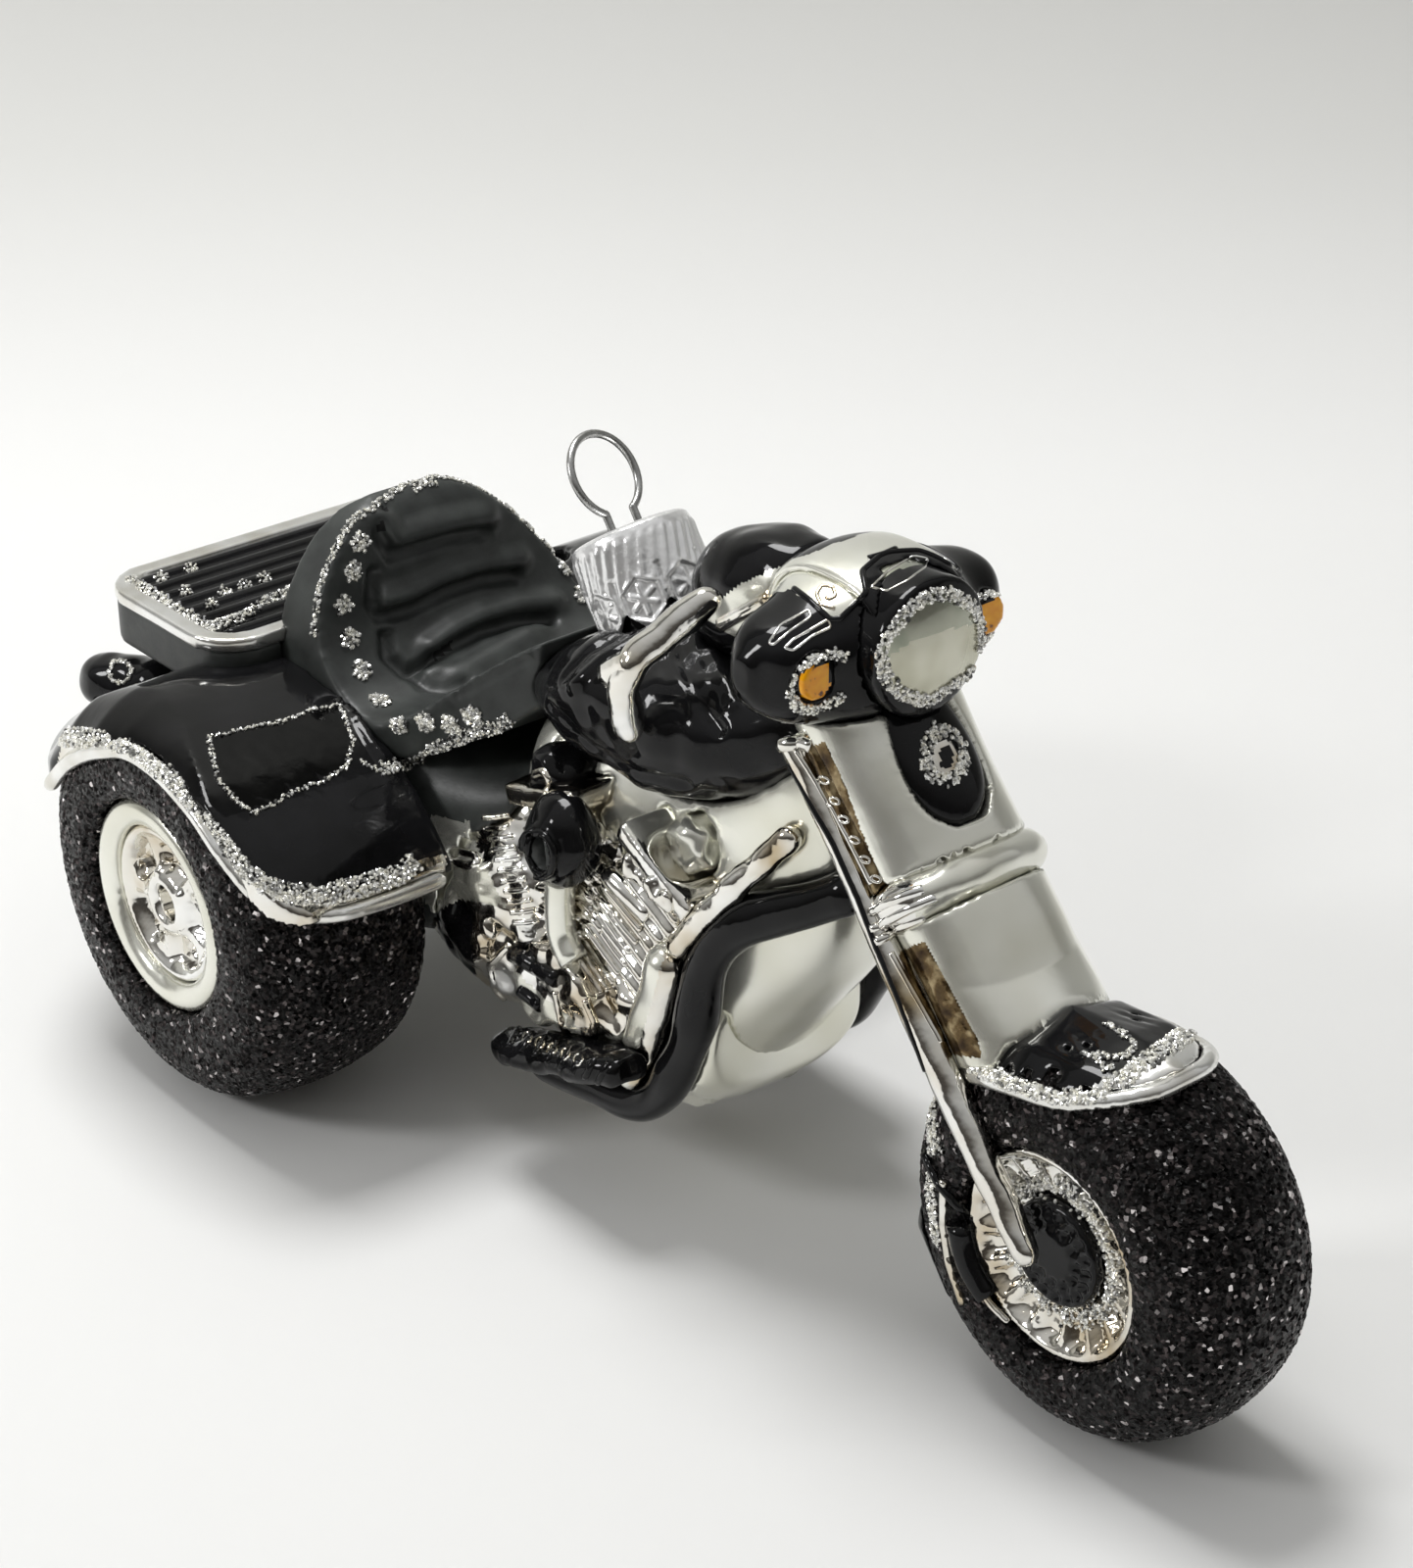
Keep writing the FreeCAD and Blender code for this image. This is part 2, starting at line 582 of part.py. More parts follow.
def visor():
    hood = nacelle(VISOR_PROUD)
    keep = Part.makeBox(30, 2 * VISOR_HALF_W, 20, V(LAMP_X - 31.5, -VISOR_HALF_W, LAMP_Z + 0.3))
    return hood.common(keep)


def headlamp():
    """The lens and the beaded ring around it."""
    barrel = Part.makeCylinder(LAMP_R + LAMP_RING_W, 6.0, V(LAMP_X - 6.0, 0, LAMP_Z), V(1, 0, 0))
    ball_r = 16.0
    dome = Part.makeSphere(ball_r, V(LAMP_X + 1.2 - ball_r, 0, LAMP_Z))
    lens = Part.makeCylinder(LAMP_R, 8.0, V(LAMP_X - 6.0, 0, LAMP_Z), V(1, 0, 0)).common(dome)
    return barrel.fuse(lens).removeSplitter()


def signal():
    x, y, z = SIGNAL_POS
    return Part.makeCylinder(SIGNAL_R, 3.0, V(x - 1.6, y, z), V(1, 0, 0))


def horn_drop():
    front = fork_point(6.6, COVER_FRONT - 0.5)
    wires = []
    rows = ((-3.4, 3.4, 1.0), (-0.5, 4.2, 1.6), (3.5, 4.7, 2.1), (7.5, 4.0, 1.8), (10.2, 1.6, 0.8))
    for along, half, deep in rows:
        centre = front + FORK_DOWN * (along - 3.5)
        wires.append(oval(tuple(centre), (0, 1, 0), tuple(FORK_OUT), half, deep, 2.0))
    return loft(wires)


# Fork frame: FORK_DOWN runs down the legs, FORK_OUT points forward from them
RAKE = math.radians(FORK_RAKE_DEG)
FORK_DOWN = V(math.sin(RAKE), 0, -math.cos(RAKE))
FORK_OUT = V(math.cos(RAKE), 0, math.sin(RAKE))
AXLE = V(WHEELBASE, 0, FRONT_R)
FORK_TOP = AXLE - FORK_DOWN * FORK_LEN


def fork_point(down, out=0.0, y=0.0):
    return FORK_TOP + FORK_DOWN * down + FORK_OUT * out + V(0, y, 0)


def leg_place(down):
    """How far the leg stands from the fork's plane and from the middle, that far down."""
    share = down / FORK_LEN
    return -LEG_SET_BACK * (1 - share), LEG_TOP_Y + share * (LEG_FOOT_Y - LEG_TOP_Y)


def fork_leg():
    """A straight tube down to the clamp, thicker below it, then a taper to the axle's end."""
    rows = ((-1.0, FORK_LEG_R), (CLAMP_AT, FORK_LEG_R), (FORK_LEN * 0.6, LOWER_LEG_R),
            (FORK_LEN - FOOT_R, FOOT_R))
    circles = []
    for down, radius in rows:
        out, y = leg_place(down)
        circles.append(Part.Wire([Part.makeCircle(radius, fork_point(down, out, -y), FORK_DOWN)]))
    out, y = leg_place(FORK_LEN - FOOT_R)
    foot = Part.makeSphere(FOOT_R * BALL_SHARE, fork_point(FORK_LEN - FOOT_R, out, -y))
    return loft(circles).fuse(foot)


def cover_section(down, half, front, back):
    centre = fork_point(down, (front - back) / 2)
    return Part.Face(oval(tuple(centre), (0, 1, 0), tuple(FORK_OUT), half, (front + back) / 2, 2.3))


def fork_cover():
    return cover_section(COVER_START, COVER_HALF_W, COVER_FRONT, COVER_BACK).extrude(FORK_DOWN * COVER_LEN)


def fork_clamp():
    front = COVER_FRONT + CLAMP_PROUD
    sections = []
    for down, inset in ((-CLAMP_H / 2, 1.3), (0, 0), (CLAMP_H / 2, 1.3)):
        section = cover_section(CLAMP_AT + down, CLAMP_HALF_W - inset, front - inset, CLAMP_BACK - inset / 3)
        sections.append(section.OuterWire)
    return loft(sections)


def fork_channel():
    """The flat strip that fills the corner between the cover and the leg, above the clamp."""
    rows = []
    for down in (CHANNEL_START, CLAMP_AT):
        out, y = leg_place(down)
        corners = [(out, y), (out + 2.6, y + 0.4), (out + 4.4, y - 2.4), (out, y - 3.0)]
        points = [fork_point(down, ahead, -side) for ahead, side in corners]
        rows.append(Part.makePolygon(points + points[:1]))
    return Part.makeLoft(rows, True, True)


# Front fender: facets between sections that stand round the front axle
def round_axle(deg, radius, y):
    turn = math.radians(deg)
    return V(WHEELBASE + radius * math.cos(turn), y, FRONT_R + radius * math.sin(turn))


def front_fender():
    sections = []
    for deg, ridge_r, shoulder_y, shoulder_r, edge_y, edge_r in GUARD_ROWS:
        half = [(edge_r, edge_y), (shoulder_r, shoulder_y)]
        outline = half + [(ridge_r, 0)] + [(r, -y) for r, y in reversed(half)]
        points = [round_axle(deg, r, y) for r, y in outline]
        sections.append(Part.makePolygon(points + points[:1]))
    return Part.makeLoft(sections, True, True)


def front_fender_lip():
    """The silver bead along the lower edge of the fender's front stretch, round its tip."""
    right = [tuple(round_axle(deg, r, -y)) for deg, r, y in GUARD_LIP]
    left = [(x, -y, z) for x, y, z in reversed(right)]
    return bar(right + left, LIP_BEAD_R)


# Engine
def cylinder_frame(lean_deg):
    """Where a cylinder stands: its foot, and the directions up it and along the trike."""
    lean = math.radians(lean_deg)
    up = V(math.sin(lean), 0, math.cos(lean))
    return V(CRANK_X, 0, CRANK_Z) + up * CYL_FOOT, up, V(math.cos(lean), 0, -math.sin(lean))


def cylinder(lean_deg, length):
    """A finned cylinder standing on the crankcase."""
    base, up, along = cylinder_frame(lean_deg)

    def block(half, start, end, width):
        corner = base + up * start - along * half - V(0, width, 0)
        outline = [corner, corner + along * 2 * half, corner + along * 2 * half + V(0, 2 * width, 0),
                   corner + V(0, 2 * width, 0), corner]
        return Part.Face(Part.makePolygon(outline)).extrude(up * (end - start))

    core = block(CYL_R, 0, length, CASE_HALF_W - 2.0)
    fins = []
    for i in range(int((length - HEAD_H) / FIN_PITCH)):
        low = 0.6 + i * FIN_PITCH
        fins.append(block(FIN_R, low, low + FIN_T, CASE_HALF_W - 0.6))
    head = block(FIN_R + 0.4, length - HEAD_H, length, CASE_HALF_W)
    return core.multiFuse(fins + [head]).removeSplitter()


def rocker(lean_deg, length):
    """The round cover over a cylinder's head."""
    base, up, along = cylinder_frame(lean_deg)
    centre = base + up * (length + 0.6)
    width = CASE_HALF_W - 1.0
    rows = ((-width, ROCKER_R - 1.2), (1.6 - width, ROCKER_R), (width - 1.6, ROCKER_R),
            (width, ROCKER_R - 1.2))
    circles = [Part.Wire([Part.makeCircle(r, centre + V(0, y, 0), V(0, 1, 0))]) for y, r in rows]
    return Part.makeLoft(circles, True, True)


def crankcase():
    body = body_along_x([(31.5, 8.0, 16.0, 25.0), (36.0, 12.5, 12.4, 29.0), (45.0, CASE_HALF_W, 10.4, 31.0),
                         (53.0, CASE_HALF_W - 0.6, 11.4, 30.0), (58.5, 10.0, 15.0, 27.0)])
    face = CASE_HALF_W + 1.5
    cover = Part.makeCylinder(6.4, 2 * face, V(CRANK_X - 3, -face, CRANK_Z + 1), V(0, 1, 0))
    return body.fuse(cover).removeSplitter()


def air_horn():
    """An elbow out of the side, ending in a round mouth that faces the tail."""
    elbow = bar([(HORN_X + 8, -11.0, HORN_Z + 2), (HORN_X + 7, -HORN_Y, HORN_Z),
                 (HORN_X + 2, -HORN_Y, HORN_Z)], HORN_R)
    mouth = Part.makeCylinder(HORN_R + 0.6, 3.6, V(HORN_X, -HORN_Y, HORN_Z), V(1, 0, 0))
    bore = Part.makeCylinder(HORN_R - 0.6, 1.6, V(HORN_X, -HORN_Y, HORN_Z), V(1, 0, 0))
    return elbow.fuse(mouth).cut(bore)


def gearbox():
    return body_along_x([(12.0, 13.0, 14.0, 34.0), (22.0, 15.6, 11.0, 38.0), (30.0, 14.8, 10.4, 40.0),
                         (35.0, 12.0, 12.0, 38.0)])


def belly():
    return stretched(BELLY)


def from_fork(back, y, z):
    """A point this far behind the front end of the body."""
    return (BODY_FRONT_X - back, y, z)


def down_tube():
    return bar([from_fork(0.0, -8.6, 49.5), from_fork(5.0, -11.4, 43.0), from_fork(10.6, -13.6, 35.0)],
               DOWN_TUBE_R)


def side_tube():
    """The wide tube in front of the engine, from the front cylinder down to the footboard."""
    return bar([from_fork(12.6, -13.3, 31.6), from_fork(17.5, -13.3, 17.0)], SIDE_TUBE_R)


def crash_bar():
    return bar([from_fork(-6.0, -6.6, 45.4), from_fork(7.7, -11.7, 37.3), from_fork(9.8, -12.7, 23.7),
                from_fork(15.4, -12.9, 13.1), from_fork(31.0, -14.5, 12.5)], BAR_R)


def footboard():
    """A slightly dished board, longer than wide, with ribs across."""
    low = V(*from_fork(35.4, -14.9, 14.6))
    far = V(*from_fork(14.0, -14.9, 20.6))
    along = (far - low).normalize()
    up = V(-along.z, 0, along.x)
    length = (far - low).Length
    wires = []
    for t, half in ((0.0, 2.0), (0.12, 3.0), (0.5, 3.4), (0.85, 3.2), (1.0, 1.8)):
        centre = low + along * (t * length) + V(0, -2.0, 0)
        wires.append(oval(tuple(centre), (0, 1, 0), tuple(up), half, 1.3, 3.0))
    return loft(wires)


def handlebar():
    return bar([from_fork(11.2, -9.1, 70.5), from_fork(14.6, -17.2, 64.6), from_fork(15.8, -15.0, 57.4)],
               HANDLEBAR_R)


def rear_body():
    """The tub between the rear wheels, under the trunk and the seat."""
    return body_along_x([(-32.5, 16.0, 30.0, 43.0), (-27.0, 18.6, 25.0, 43.6), (-10.0, 18.8, 17.0, 44.4),
                         (8.0, 18.0, 15.0, 43.0), (20.0, 15.4, 18.0, 41.0), (28.0, 12.0, 24.0, 42.0)], 3.6)


# Each form keeps what it has, and gives way to the forms listed before it
def forms():
    """(name, solid, True for a pair) in the order in which they keep their shape."""
    return [
        ("cap_neck", cap_neck(), False),
        ("headlamp", headlamp(), False),
        ("signal", signal(), True),
        ("horn_drop", horn_drop(), False),
        ("brake_disc", brake_disc(), True),
        ("handlebar", handlebar(), True),
        ("fork_leg", fork_leg(), True),
        ("front_rim", front_rim(), False),
        ("front_tyre", front_tyre(), False),
        ("fork_clamp", fork_clamp(), False),
        ("fork_channel", fork_channel(), True),
        ("crash_bar", crash_bar(), True),
        ("footboard", footboard(), True),
        ("air_horn", air_horn(), False),
        ("tail_light", tail_light(), True),
        ("fender_lip", fender_lip(), True),
        ("front_fender_lip", front_fender_lip(), False),
        ("rack_frame", rack_frame(), False),
        ("rack_slats", rack_slats(), False),
        ("nacelle", nacelle(), False),
        ("visor", visor(), False),
        ("dash", dash(), False),
        ("front_fender", front_fender(), False),
        ("fork_cover", fork_cover(), False),
        ("tank", tank(), False),
        ("seat", seat(), False),
        ("trunk", trunk(), False),
        ("fender", fender(), True),
        ("rear_hub", rear_hub(), True),
        ("rear_rim", rear_rim(), True),
        ("rear_tyre", rear_tyre().cut(over_lip()), True),
        ("down_tube", down_tube(), True),
        ("side_tube", side_tube(), True),
        ("rocker_front", rocker(FRONT_CYL_LEAN_DEG, FRONT_CYL_LEN), False),
        ("rocker_rear", rocker(REAR_CYL_LEAN_DEG, REAR_CYL_LEN), False),
        ("cylinder_front", cylinder(FRONT_CYL_LEAN_DEG, FRONT_CYL_LEN), False),
        ("cylinder_rear", cylinder(REAR_CYL_LEAN_DEG, REAR_CYL_LEN), False),
        ("crankcase", crankcase(), False),
        ("gearbox", gearbox(), False),
        ("belly", belly(), False),
        ("rear_body", rear_body(), False),
    ]


def meet(a, b):
    return a.BoundBox.intersect(b.BoundBox)


def main_solid(shape):
    """The form without the loose chips that a cut can leave."""
    biggest = max(s.Volume for s in shape.Solids)
    kept = [s for s in shape.Solids if s.Volume > 0.05 * biggest]
    return kept[0] if len(kept) == 1 else Part.makeCompound(kept)


def fitted():
    """Every node of the glass body, cut so that neighbours meet face to face."""
    nodes = {}
    for name, shape, pair in forms():
        for other in nodes.values():
            if meet(shape, other):
                shape = shape.cut(other)
        shape = main_solid(shape)
        if pair:
            nodes[name + "_right"] = shape
            nodes[name + "_left"] = mirrored(shape)
        else:
            nodes[name] = shape
    return nodes


def finish(nodes):
    low = min(s.BoundBox.XMin for s in nodes.values())
    high = max(s.BoundBox.XMax for s in nodes.values())
    shift = V(-(low + high) / 2, 0, 0)
    os.makedirs("parts", exist_ok=True)
    for name, shape in nodes.items():
        shape.translate(shift)
        shape.exportStep("parts/" + name + ".step")
    print("nodes", len(nodes), "shift", round(shift.x, 3))


def main():
    nodes = fitted()
    nodes["cap"] = cap()
    nodes["hanger"] = hanger()
    finish(nodes)


main()
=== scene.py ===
import math
import random

import bmesh
import bpy
import numpy as np
from mathutils import Euler, Matrix, Vector
from mathutils import noise as slow_noise
from mathutils.bvhtree import BVHTree


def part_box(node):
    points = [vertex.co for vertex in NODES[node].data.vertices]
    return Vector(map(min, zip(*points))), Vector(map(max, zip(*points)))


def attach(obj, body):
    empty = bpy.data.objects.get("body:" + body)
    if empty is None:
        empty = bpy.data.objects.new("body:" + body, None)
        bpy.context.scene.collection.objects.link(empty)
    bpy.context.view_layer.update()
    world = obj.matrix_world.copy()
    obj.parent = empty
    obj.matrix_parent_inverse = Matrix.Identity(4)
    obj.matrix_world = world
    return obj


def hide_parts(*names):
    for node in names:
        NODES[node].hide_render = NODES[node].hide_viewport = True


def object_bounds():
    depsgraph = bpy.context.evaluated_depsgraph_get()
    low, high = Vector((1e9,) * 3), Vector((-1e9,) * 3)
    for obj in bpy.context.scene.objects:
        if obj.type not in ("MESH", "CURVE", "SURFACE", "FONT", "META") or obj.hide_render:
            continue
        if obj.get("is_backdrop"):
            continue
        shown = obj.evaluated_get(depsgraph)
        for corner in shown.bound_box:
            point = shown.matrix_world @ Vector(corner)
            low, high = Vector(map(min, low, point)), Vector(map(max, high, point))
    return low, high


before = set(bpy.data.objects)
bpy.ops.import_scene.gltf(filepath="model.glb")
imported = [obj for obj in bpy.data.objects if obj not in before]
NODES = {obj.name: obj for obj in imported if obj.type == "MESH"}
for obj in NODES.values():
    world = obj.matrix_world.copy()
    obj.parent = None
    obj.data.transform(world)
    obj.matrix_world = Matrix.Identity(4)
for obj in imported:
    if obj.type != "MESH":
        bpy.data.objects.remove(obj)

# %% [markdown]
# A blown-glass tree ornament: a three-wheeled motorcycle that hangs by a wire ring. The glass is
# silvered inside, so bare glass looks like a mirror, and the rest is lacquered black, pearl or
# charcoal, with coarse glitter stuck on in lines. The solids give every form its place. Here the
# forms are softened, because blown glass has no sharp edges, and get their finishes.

MM = 0.001
CAD_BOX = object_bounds()
hub_low, hub_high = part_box("rear_hub_right")
REAR_AXLE_X = (hub_low.x + hub_high.x) / 2
chance = random.Random(7)


def at(x, y, z):
    """A point given in millimetres from the floor under the rear axle's middle."""
    return Vector((REAR_AXLE_X + x * MM, y * MM, z * MM))


print("rear axle at x", round(REAR_AXLE_X / MM, 2), "mm, nodes", len(NODES))

# %% [markdown]
# The camera stands where the picture was taken from: in front of the trike's right side and above
# it, with a long lens. Later cells also use its lines of sight, to lay a row of glitter on the
# glass just where the picture shows it.

# %% The camera and its lines of sight
PICTURE_W, PICTURE_H = 1442, 1600
LENS_MM = 76.27
SENSOR_MM = 36.0
CAMERA_AT = at(275.1, -192.4, 199.2)
CAMERA_AIM = at(44.0, 1.36, 42.44)
CAMERA_ROLL_DEG = -0.3

camera = bpy.data.objects.new("camera", bpy.data.cameras.new("camera"))
bpy.context.scene.collection.objects.link(camera)
bpy.context.scene.camera = camera
camera.data.lens = LENS_MM
camera.data.sensor_width = SENSOR_MM
camera.data.clip_start, camera.data.clip_end = 0.01, 10
turn = (CAMERA_AIM - CAMERA_AT).to_track_quat("-Z", "Y").to_matrix()
turn = turn @ Matrix.Rotation(math.radians(CAMERA_ROLL_DEG), 3, "Z")
camera.matrix_world = Matrix.Translation(CAMERA_AT) @ turn.to_4x4()
FOCAL_PX = LENS_MM / SENSOR_MM * PICTURE_H


def sight(u, v):
    """The direction from the camera through a pixel of the picture."""
    return (turn @ Vector((u - PICTURE_W / 2, PICTURE_H / 2 - v, -FOCAL_PX))).normalized()


print("camera", [round(c / MM) for c in CAMERA_AT], "mm")

# %% [markdown]
# Every piece is made in the same way: a bmesh becomes a mesh, the mesh an object, and the object
# gets its finish and the body that it moves with. One helper does that, so that no piece misses a
# step. Some finishes here are finer than the solids' own.


def new_piece(name, bm, finish, body="glass_trike"):
    """A finished mesh as an object that moves with one of the model's bodies."""
    mesh = bpy.data.meshes.new(name)
    bm.to_mesh(mesh)
    bm.free()
    piece = bpy.data.objects.new(name, mesh)
    bpy.context.scene.collection.objects.link(piece)
    if finish:
        mesh.materials.append(finish)
    if body:
        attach(piece, body)
    return piece


# %% [markdown]
# Glass, lacquer and glitter are all patterns over a Principled shader, so they are node trees.
# Setting each socket by hand takes a page per finish. Two helpers make and feed a node, and four
# more make what nearly every finish needs: a colour ramp, noise, a range and a bump. Noise takes
# its lumps in millimetres, because that can be measured on the ornament.

# %% Helpers for finishes
def feed(tree, node, inputs):
    """Sets a node's inputs, by name or number: a socket is linked, anything else is a value."""
    for key, given in inputs.items():
        if isinstance(given, bpy.types.NodeSocket):
            tree.links.new(given, node.inputs[key])
        else:
            node.inputs[key].default_value = given


def new_node(tree, kind, inputs, operation=None):
    """A shader node with its inputs, and with its operation where it does sums."""
    node = tree.nodes.new("ShaderNode" + kind)
    if operation:
        node.operation = operation
    feed(tree, node, inputs)
    return node


def new_finish(name):
    """An empty Principled material, its node tree and the coordinates that its patterns use."""
    finish = bpy.data.materials.new(name)
    finish.use_nodes = True
    tree = finish.node_tree
    shader = tree.nodes["Principled BSDF"]
    place = tree.nodes.new("ShaderNodeTexCoord").outputs["Object"]
    return finish, tree, shader, place


def colours(tree, factor, stops):
    """A colour ramp on a factor, from (position, (r, g, b)) stops."""
    ramp = new_node(tree, "ValToRGB", {"Fac": factor})
    while len(ramp.color_ramp.elements) < len(stops):
        ramp.color_ramp.elements.new(0.5)
    for element, (position, colour) in zip(ramp.color_ramp.elements, stops):
        element.position = position
        element.color = (*colour, 1)
    return ramp.outputs["Color"]


def noise(tree, place, size_mm, detail=2.0):
    """Noise whose lumps are about size_mm across."""
    inputs = {"Scale": 1 / (size_mm * MM), "Detail": detail, "Vector": place}
    return new_node(tree, "TexNoise", inputs).outputs["Fac"]


def to_range(tree, factor, low, high):
    """A 0 to 1 factor taken to another range."""
    return new_node(tree, "MapRange", {"To Min": low, "To Max": high, "Value": factor}).outputs["Result"]


def bump(tree, height, rise_mm, under=None):
    """Normals for a height map rise_mm high, on top of another bump if one is given."""
    inputs = {"Distance": rise_mm * MM, "Height": height, **({"Normal": under} if under else {})}
    return new_node(tree, "Bump", inputs).outputs["Normal"]


print("finish helpers ready")

# %% [markdown]
# Mirror glass shows its room, so the room matters as much as the object. A pale floor curves up
# into a grey wall. The paper's colour is painted darker upwards, as painted shade where less light
# reaches the wall, which also gives the silver something to show. The paper is clear from behind,
# so that the wall does not hide the trike from there.

# %% Paper for the floor and the wall
paper, tree, shader, place = new_finish("studio_paper")
split = new_node(tree, "SeparateXYZ", {0: place})
height = new_node(tree, "MapRange", {"From Max": 0.30, "Value": split.outputs["Z"]})
# The colour darkens with height: painted shade on the wall.
painted_wall_shade = colours(tree, height.outputs["Result"], [(0.0, (0.80, 0.80, 0.79)), (0.12, (0.70, 0.70, 0.68)),
                                                       (0.5, (0.56, 0.56, 0.54)), (1.0, (0.58, 0.58, 0.55))])
feed(tree, shader, {"Base Color": painted_wall_shade, "Roughness": 0.9, "Specular IOR Level": 0.1})
backfacing = new_node(tree, "NewGeometry", {}).outputs["Backfacing"]
clear = new_node(tree, "BsdfTransparent", {})
one_way = new_node(tree, "MixShader", {"Fac": backfacing, 1: shader.outputs[0], 2: clear.outputs[0]})
feed(tree, tree.nodes["Material Output"], {"Surface": one_way.outputs[0]})
print("paper nodes", len(tree.nodes))

# %% [markdown]
# The backdrop is one strip of paper: flat under the trike, a quarter turn behind it, then straight
# up. Its section is a row of edges that is extruded sideways once, which keeps the curve smooth.

# %% The floor and the wall behind
view_flat = Vector((CAMERA_AIM.x - CAMERA_AT.x, CAMERA_AIM.y - CAMERA_AT.y, 0)).normalized()
across = Vector((-view_flat.y, view_flat.x, 0))
CURVE_STARTS, CURVE_R, CURVE_STEPS = 0.17, 0.10, 8
WALL_TOP, STAGE_HALF = 0.9, 1.2

bm = bmesh.new()
middle = Vector((CAMERA_AIM.x, CAMERA_AIM.y, 0))
rows = [middle - view_flat * STAGE_HALF, middle + view_flat * CURVE_STARTS]
for step in range(1, CURVE_STEPS + 1):
    turn_by = math.pi / 2 * step / CURVE_STEPS
    rows.append(middle + view_flat * (CURVE_STARTS + CURVE_R * math.sin(turn_by))
                + Vector((0, 0, CURVE_R * (1 - math.cos(turn_by)))))
rows.append(rows[-1] + Vector((0, 0, WALL_TOP)))
line = [bm.verts.new(row - across * STAGE_HALF) for row in rows]
edges = [bm.edges.new(pair) for pair in zip(line, line[1:])]
swept = bmesh.ops.extrude_edge_only(bm, edges=edges)
bmesh.ops.translate(bm, vec=across * 2 * STAGE_HALF,
                    verts=[g for g in swept["geom"] if isinstance(g, bmesh.types.BMVert)])
bmesh.ops.recalc_face_normals(bm, faces=bm.faces)
if max(bm.faces, key=lambda face: abs(face.normal.z)).normal.z < 0:
    bmesh.ops.reverse_faces(bm, faces=bm.faces)
for face in bm.faces:
    face.smooth = True
stage = new_piece("studio_sweep", bm, paper, None)
stage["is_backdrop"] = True
print("stage", len(rows), "rows")

# %% [markdown]
# The light is one large soft box overhead, slightly behind, and a weaker one at the left, as in a
# product picture. The world fills the shadows with the same pale grey.

# %% Lamps and world
def soft_box(name, offset, size, watts):
    """A square lamp at an offset from the camera's aim (right, forward, up), facing the aim."""
    lamp = bpy.data.objects.new(name, bpy.data.lights.new(name, "AREA"))
    bpy.context.scene.collection.objects.link(lamp)
    place = CAMERA_AIM - across * offset[0] + view_flat * offset[1] + Vector((0, 0, offset[2]))
    lamp.data.size = size
    lamp.data.energy = watts
    facing = (CAMERA_AIM - place).to_track_quat("-Z", "Y").to_matrix().to_4x4()
    lamp.matrix_world = Matrix.Translation(place) @ facing


soft_box("overhead", (-0.12, 0.16, 0.60), 0.24, 3.1)
soft_box("window", (-0.58, -0.16, 0.34), 0.13, 1.3)

world = bpy.data.worlds.new("room")
bpy.context.scene.world = world
world.use_nodes = True
sky = world.node_tree
background = sky.nodes["Background"]
direction = new_node(sky, "TexCoord", {}).outputs["Generated"]
toward = new_node(sky, "VectorMath", {0: direction, 1: view_flat * 0.45 + Vector((0, 0, 0.9))}, "DOT_PRODUCT")
height = new_node(sky, "MapRange", {"From Min": -0.6, "Value": toward.outputs["Value"]})
room = colours(sky, height.outputs["Result"], [(0.0, (0.03, 0.028, 0.025)), (0.30, (0.13, 0.12, 0.11)),
                                               (0.52, (0.55, 0.55, 0.54)), (1.0, (1.0, 1.0, 1.0))])
feed(sky, background, {"Strength": 0.62, "Color": room})
bpy.context.scene.view_settings.view_transform = "Standard"
print("lamps", len(bpy.data.lights))

# %% [markdown]
# Most finishes differ only in their numbers: a colour and a roughness that follow noise, and the
# wave of the blown wall. One function makes them all.

# %% One function for most finishes
def melted(tree, place, rise_mm, lump_mm):
    """The slow wave of a blown wall, with a finer ripple on it."""
    slow = bump(tree, noise(tree, place, lump_mm, 1.0), rise_mm)
    return bump(tree, noise(tree, place, lump_mm / 3.5, 1.0), rise_mm / 6, under=slow)


def finish_of(name, tint, rough, metallic=0.0, wave=None, grain=None, more=()):
    """A finish whose colour and roughness follow noise.

    tint is (lump_mm, detail, stops), rough is (lump_mm, detail, low, high), wave is the wall's
    (rise_mm, lump_mm), grain is a sprayed (lump_mm, detail, rise_mm), more is (socket, value) pairs.
    """
    finish, tree, shader, place = new_finish(name)
    colour = colours(tree, noise(tree, place, *tint[:2]), tint[2])
    roughness = to_range(tree, noise(tree, place, *rough[:2]), *rough[2:])
    feed(tree, shader, {"Base Color": colour, "Roughness": roughness, "Metallic": metallic, **dict(more)})
    normal = melted(tree, place, *wave) if wave else None
    if grain:
        normal = bump(tree, noise(tree, place, *grain[:2]), grain[2], under=normal)
    if normal:
        feed(tree, shader, {"Normal": normal})
    return finish


print("finish function ready")

# %% [markdown]
# Bare silvered glass is a mirror seen through a slightly wavy wall, with warmer, darker patches in
# its colour: painted reflection of the brown and black around it. The wave is a bump with lumps a
# few millimetres across, because a blown wall has no grain. The same wave goes under every lacquer.

# %% Silver and pearl
# The dark brown stop paints reflection into the mirror's colour.
silver = finish_of(
    "mirror_silver", (9.0, 3.0, [(0.30, (0.52, 0.42, 0.27)), (0.46, (0.80, 0.77, 0.70)),
                                 (0.65, (0.93, 0.93, 0.91))]),
    (3.0, 2.0, 0.05, 0.16), 1.0, wave=(0.22, 3.2))
lip_silver = finish_of(
    "silver_lip", (5.0, 2.0, [(0.35, (0.74, 0.72, 0.66)), (0.6, (0.93, 0.93, 0.91))]),
    (2.0, 2.0, 0.16, 0.28), 0.9, wave=(0.05, 3.0))
pearl = finish_of(
    "pearl_lacquer", (14.0, 2.0, [(0.35, (0.76, 0.75, 0.64)), (0.6, (0.92, 0.92, 0.84))]),
    (3.0, 2.0, 0.18, 0.27), 0.75, wave=(0.10, 6.0), more=[("Coat Weight", 0.5), ("Coat Roughness", 0.12)])
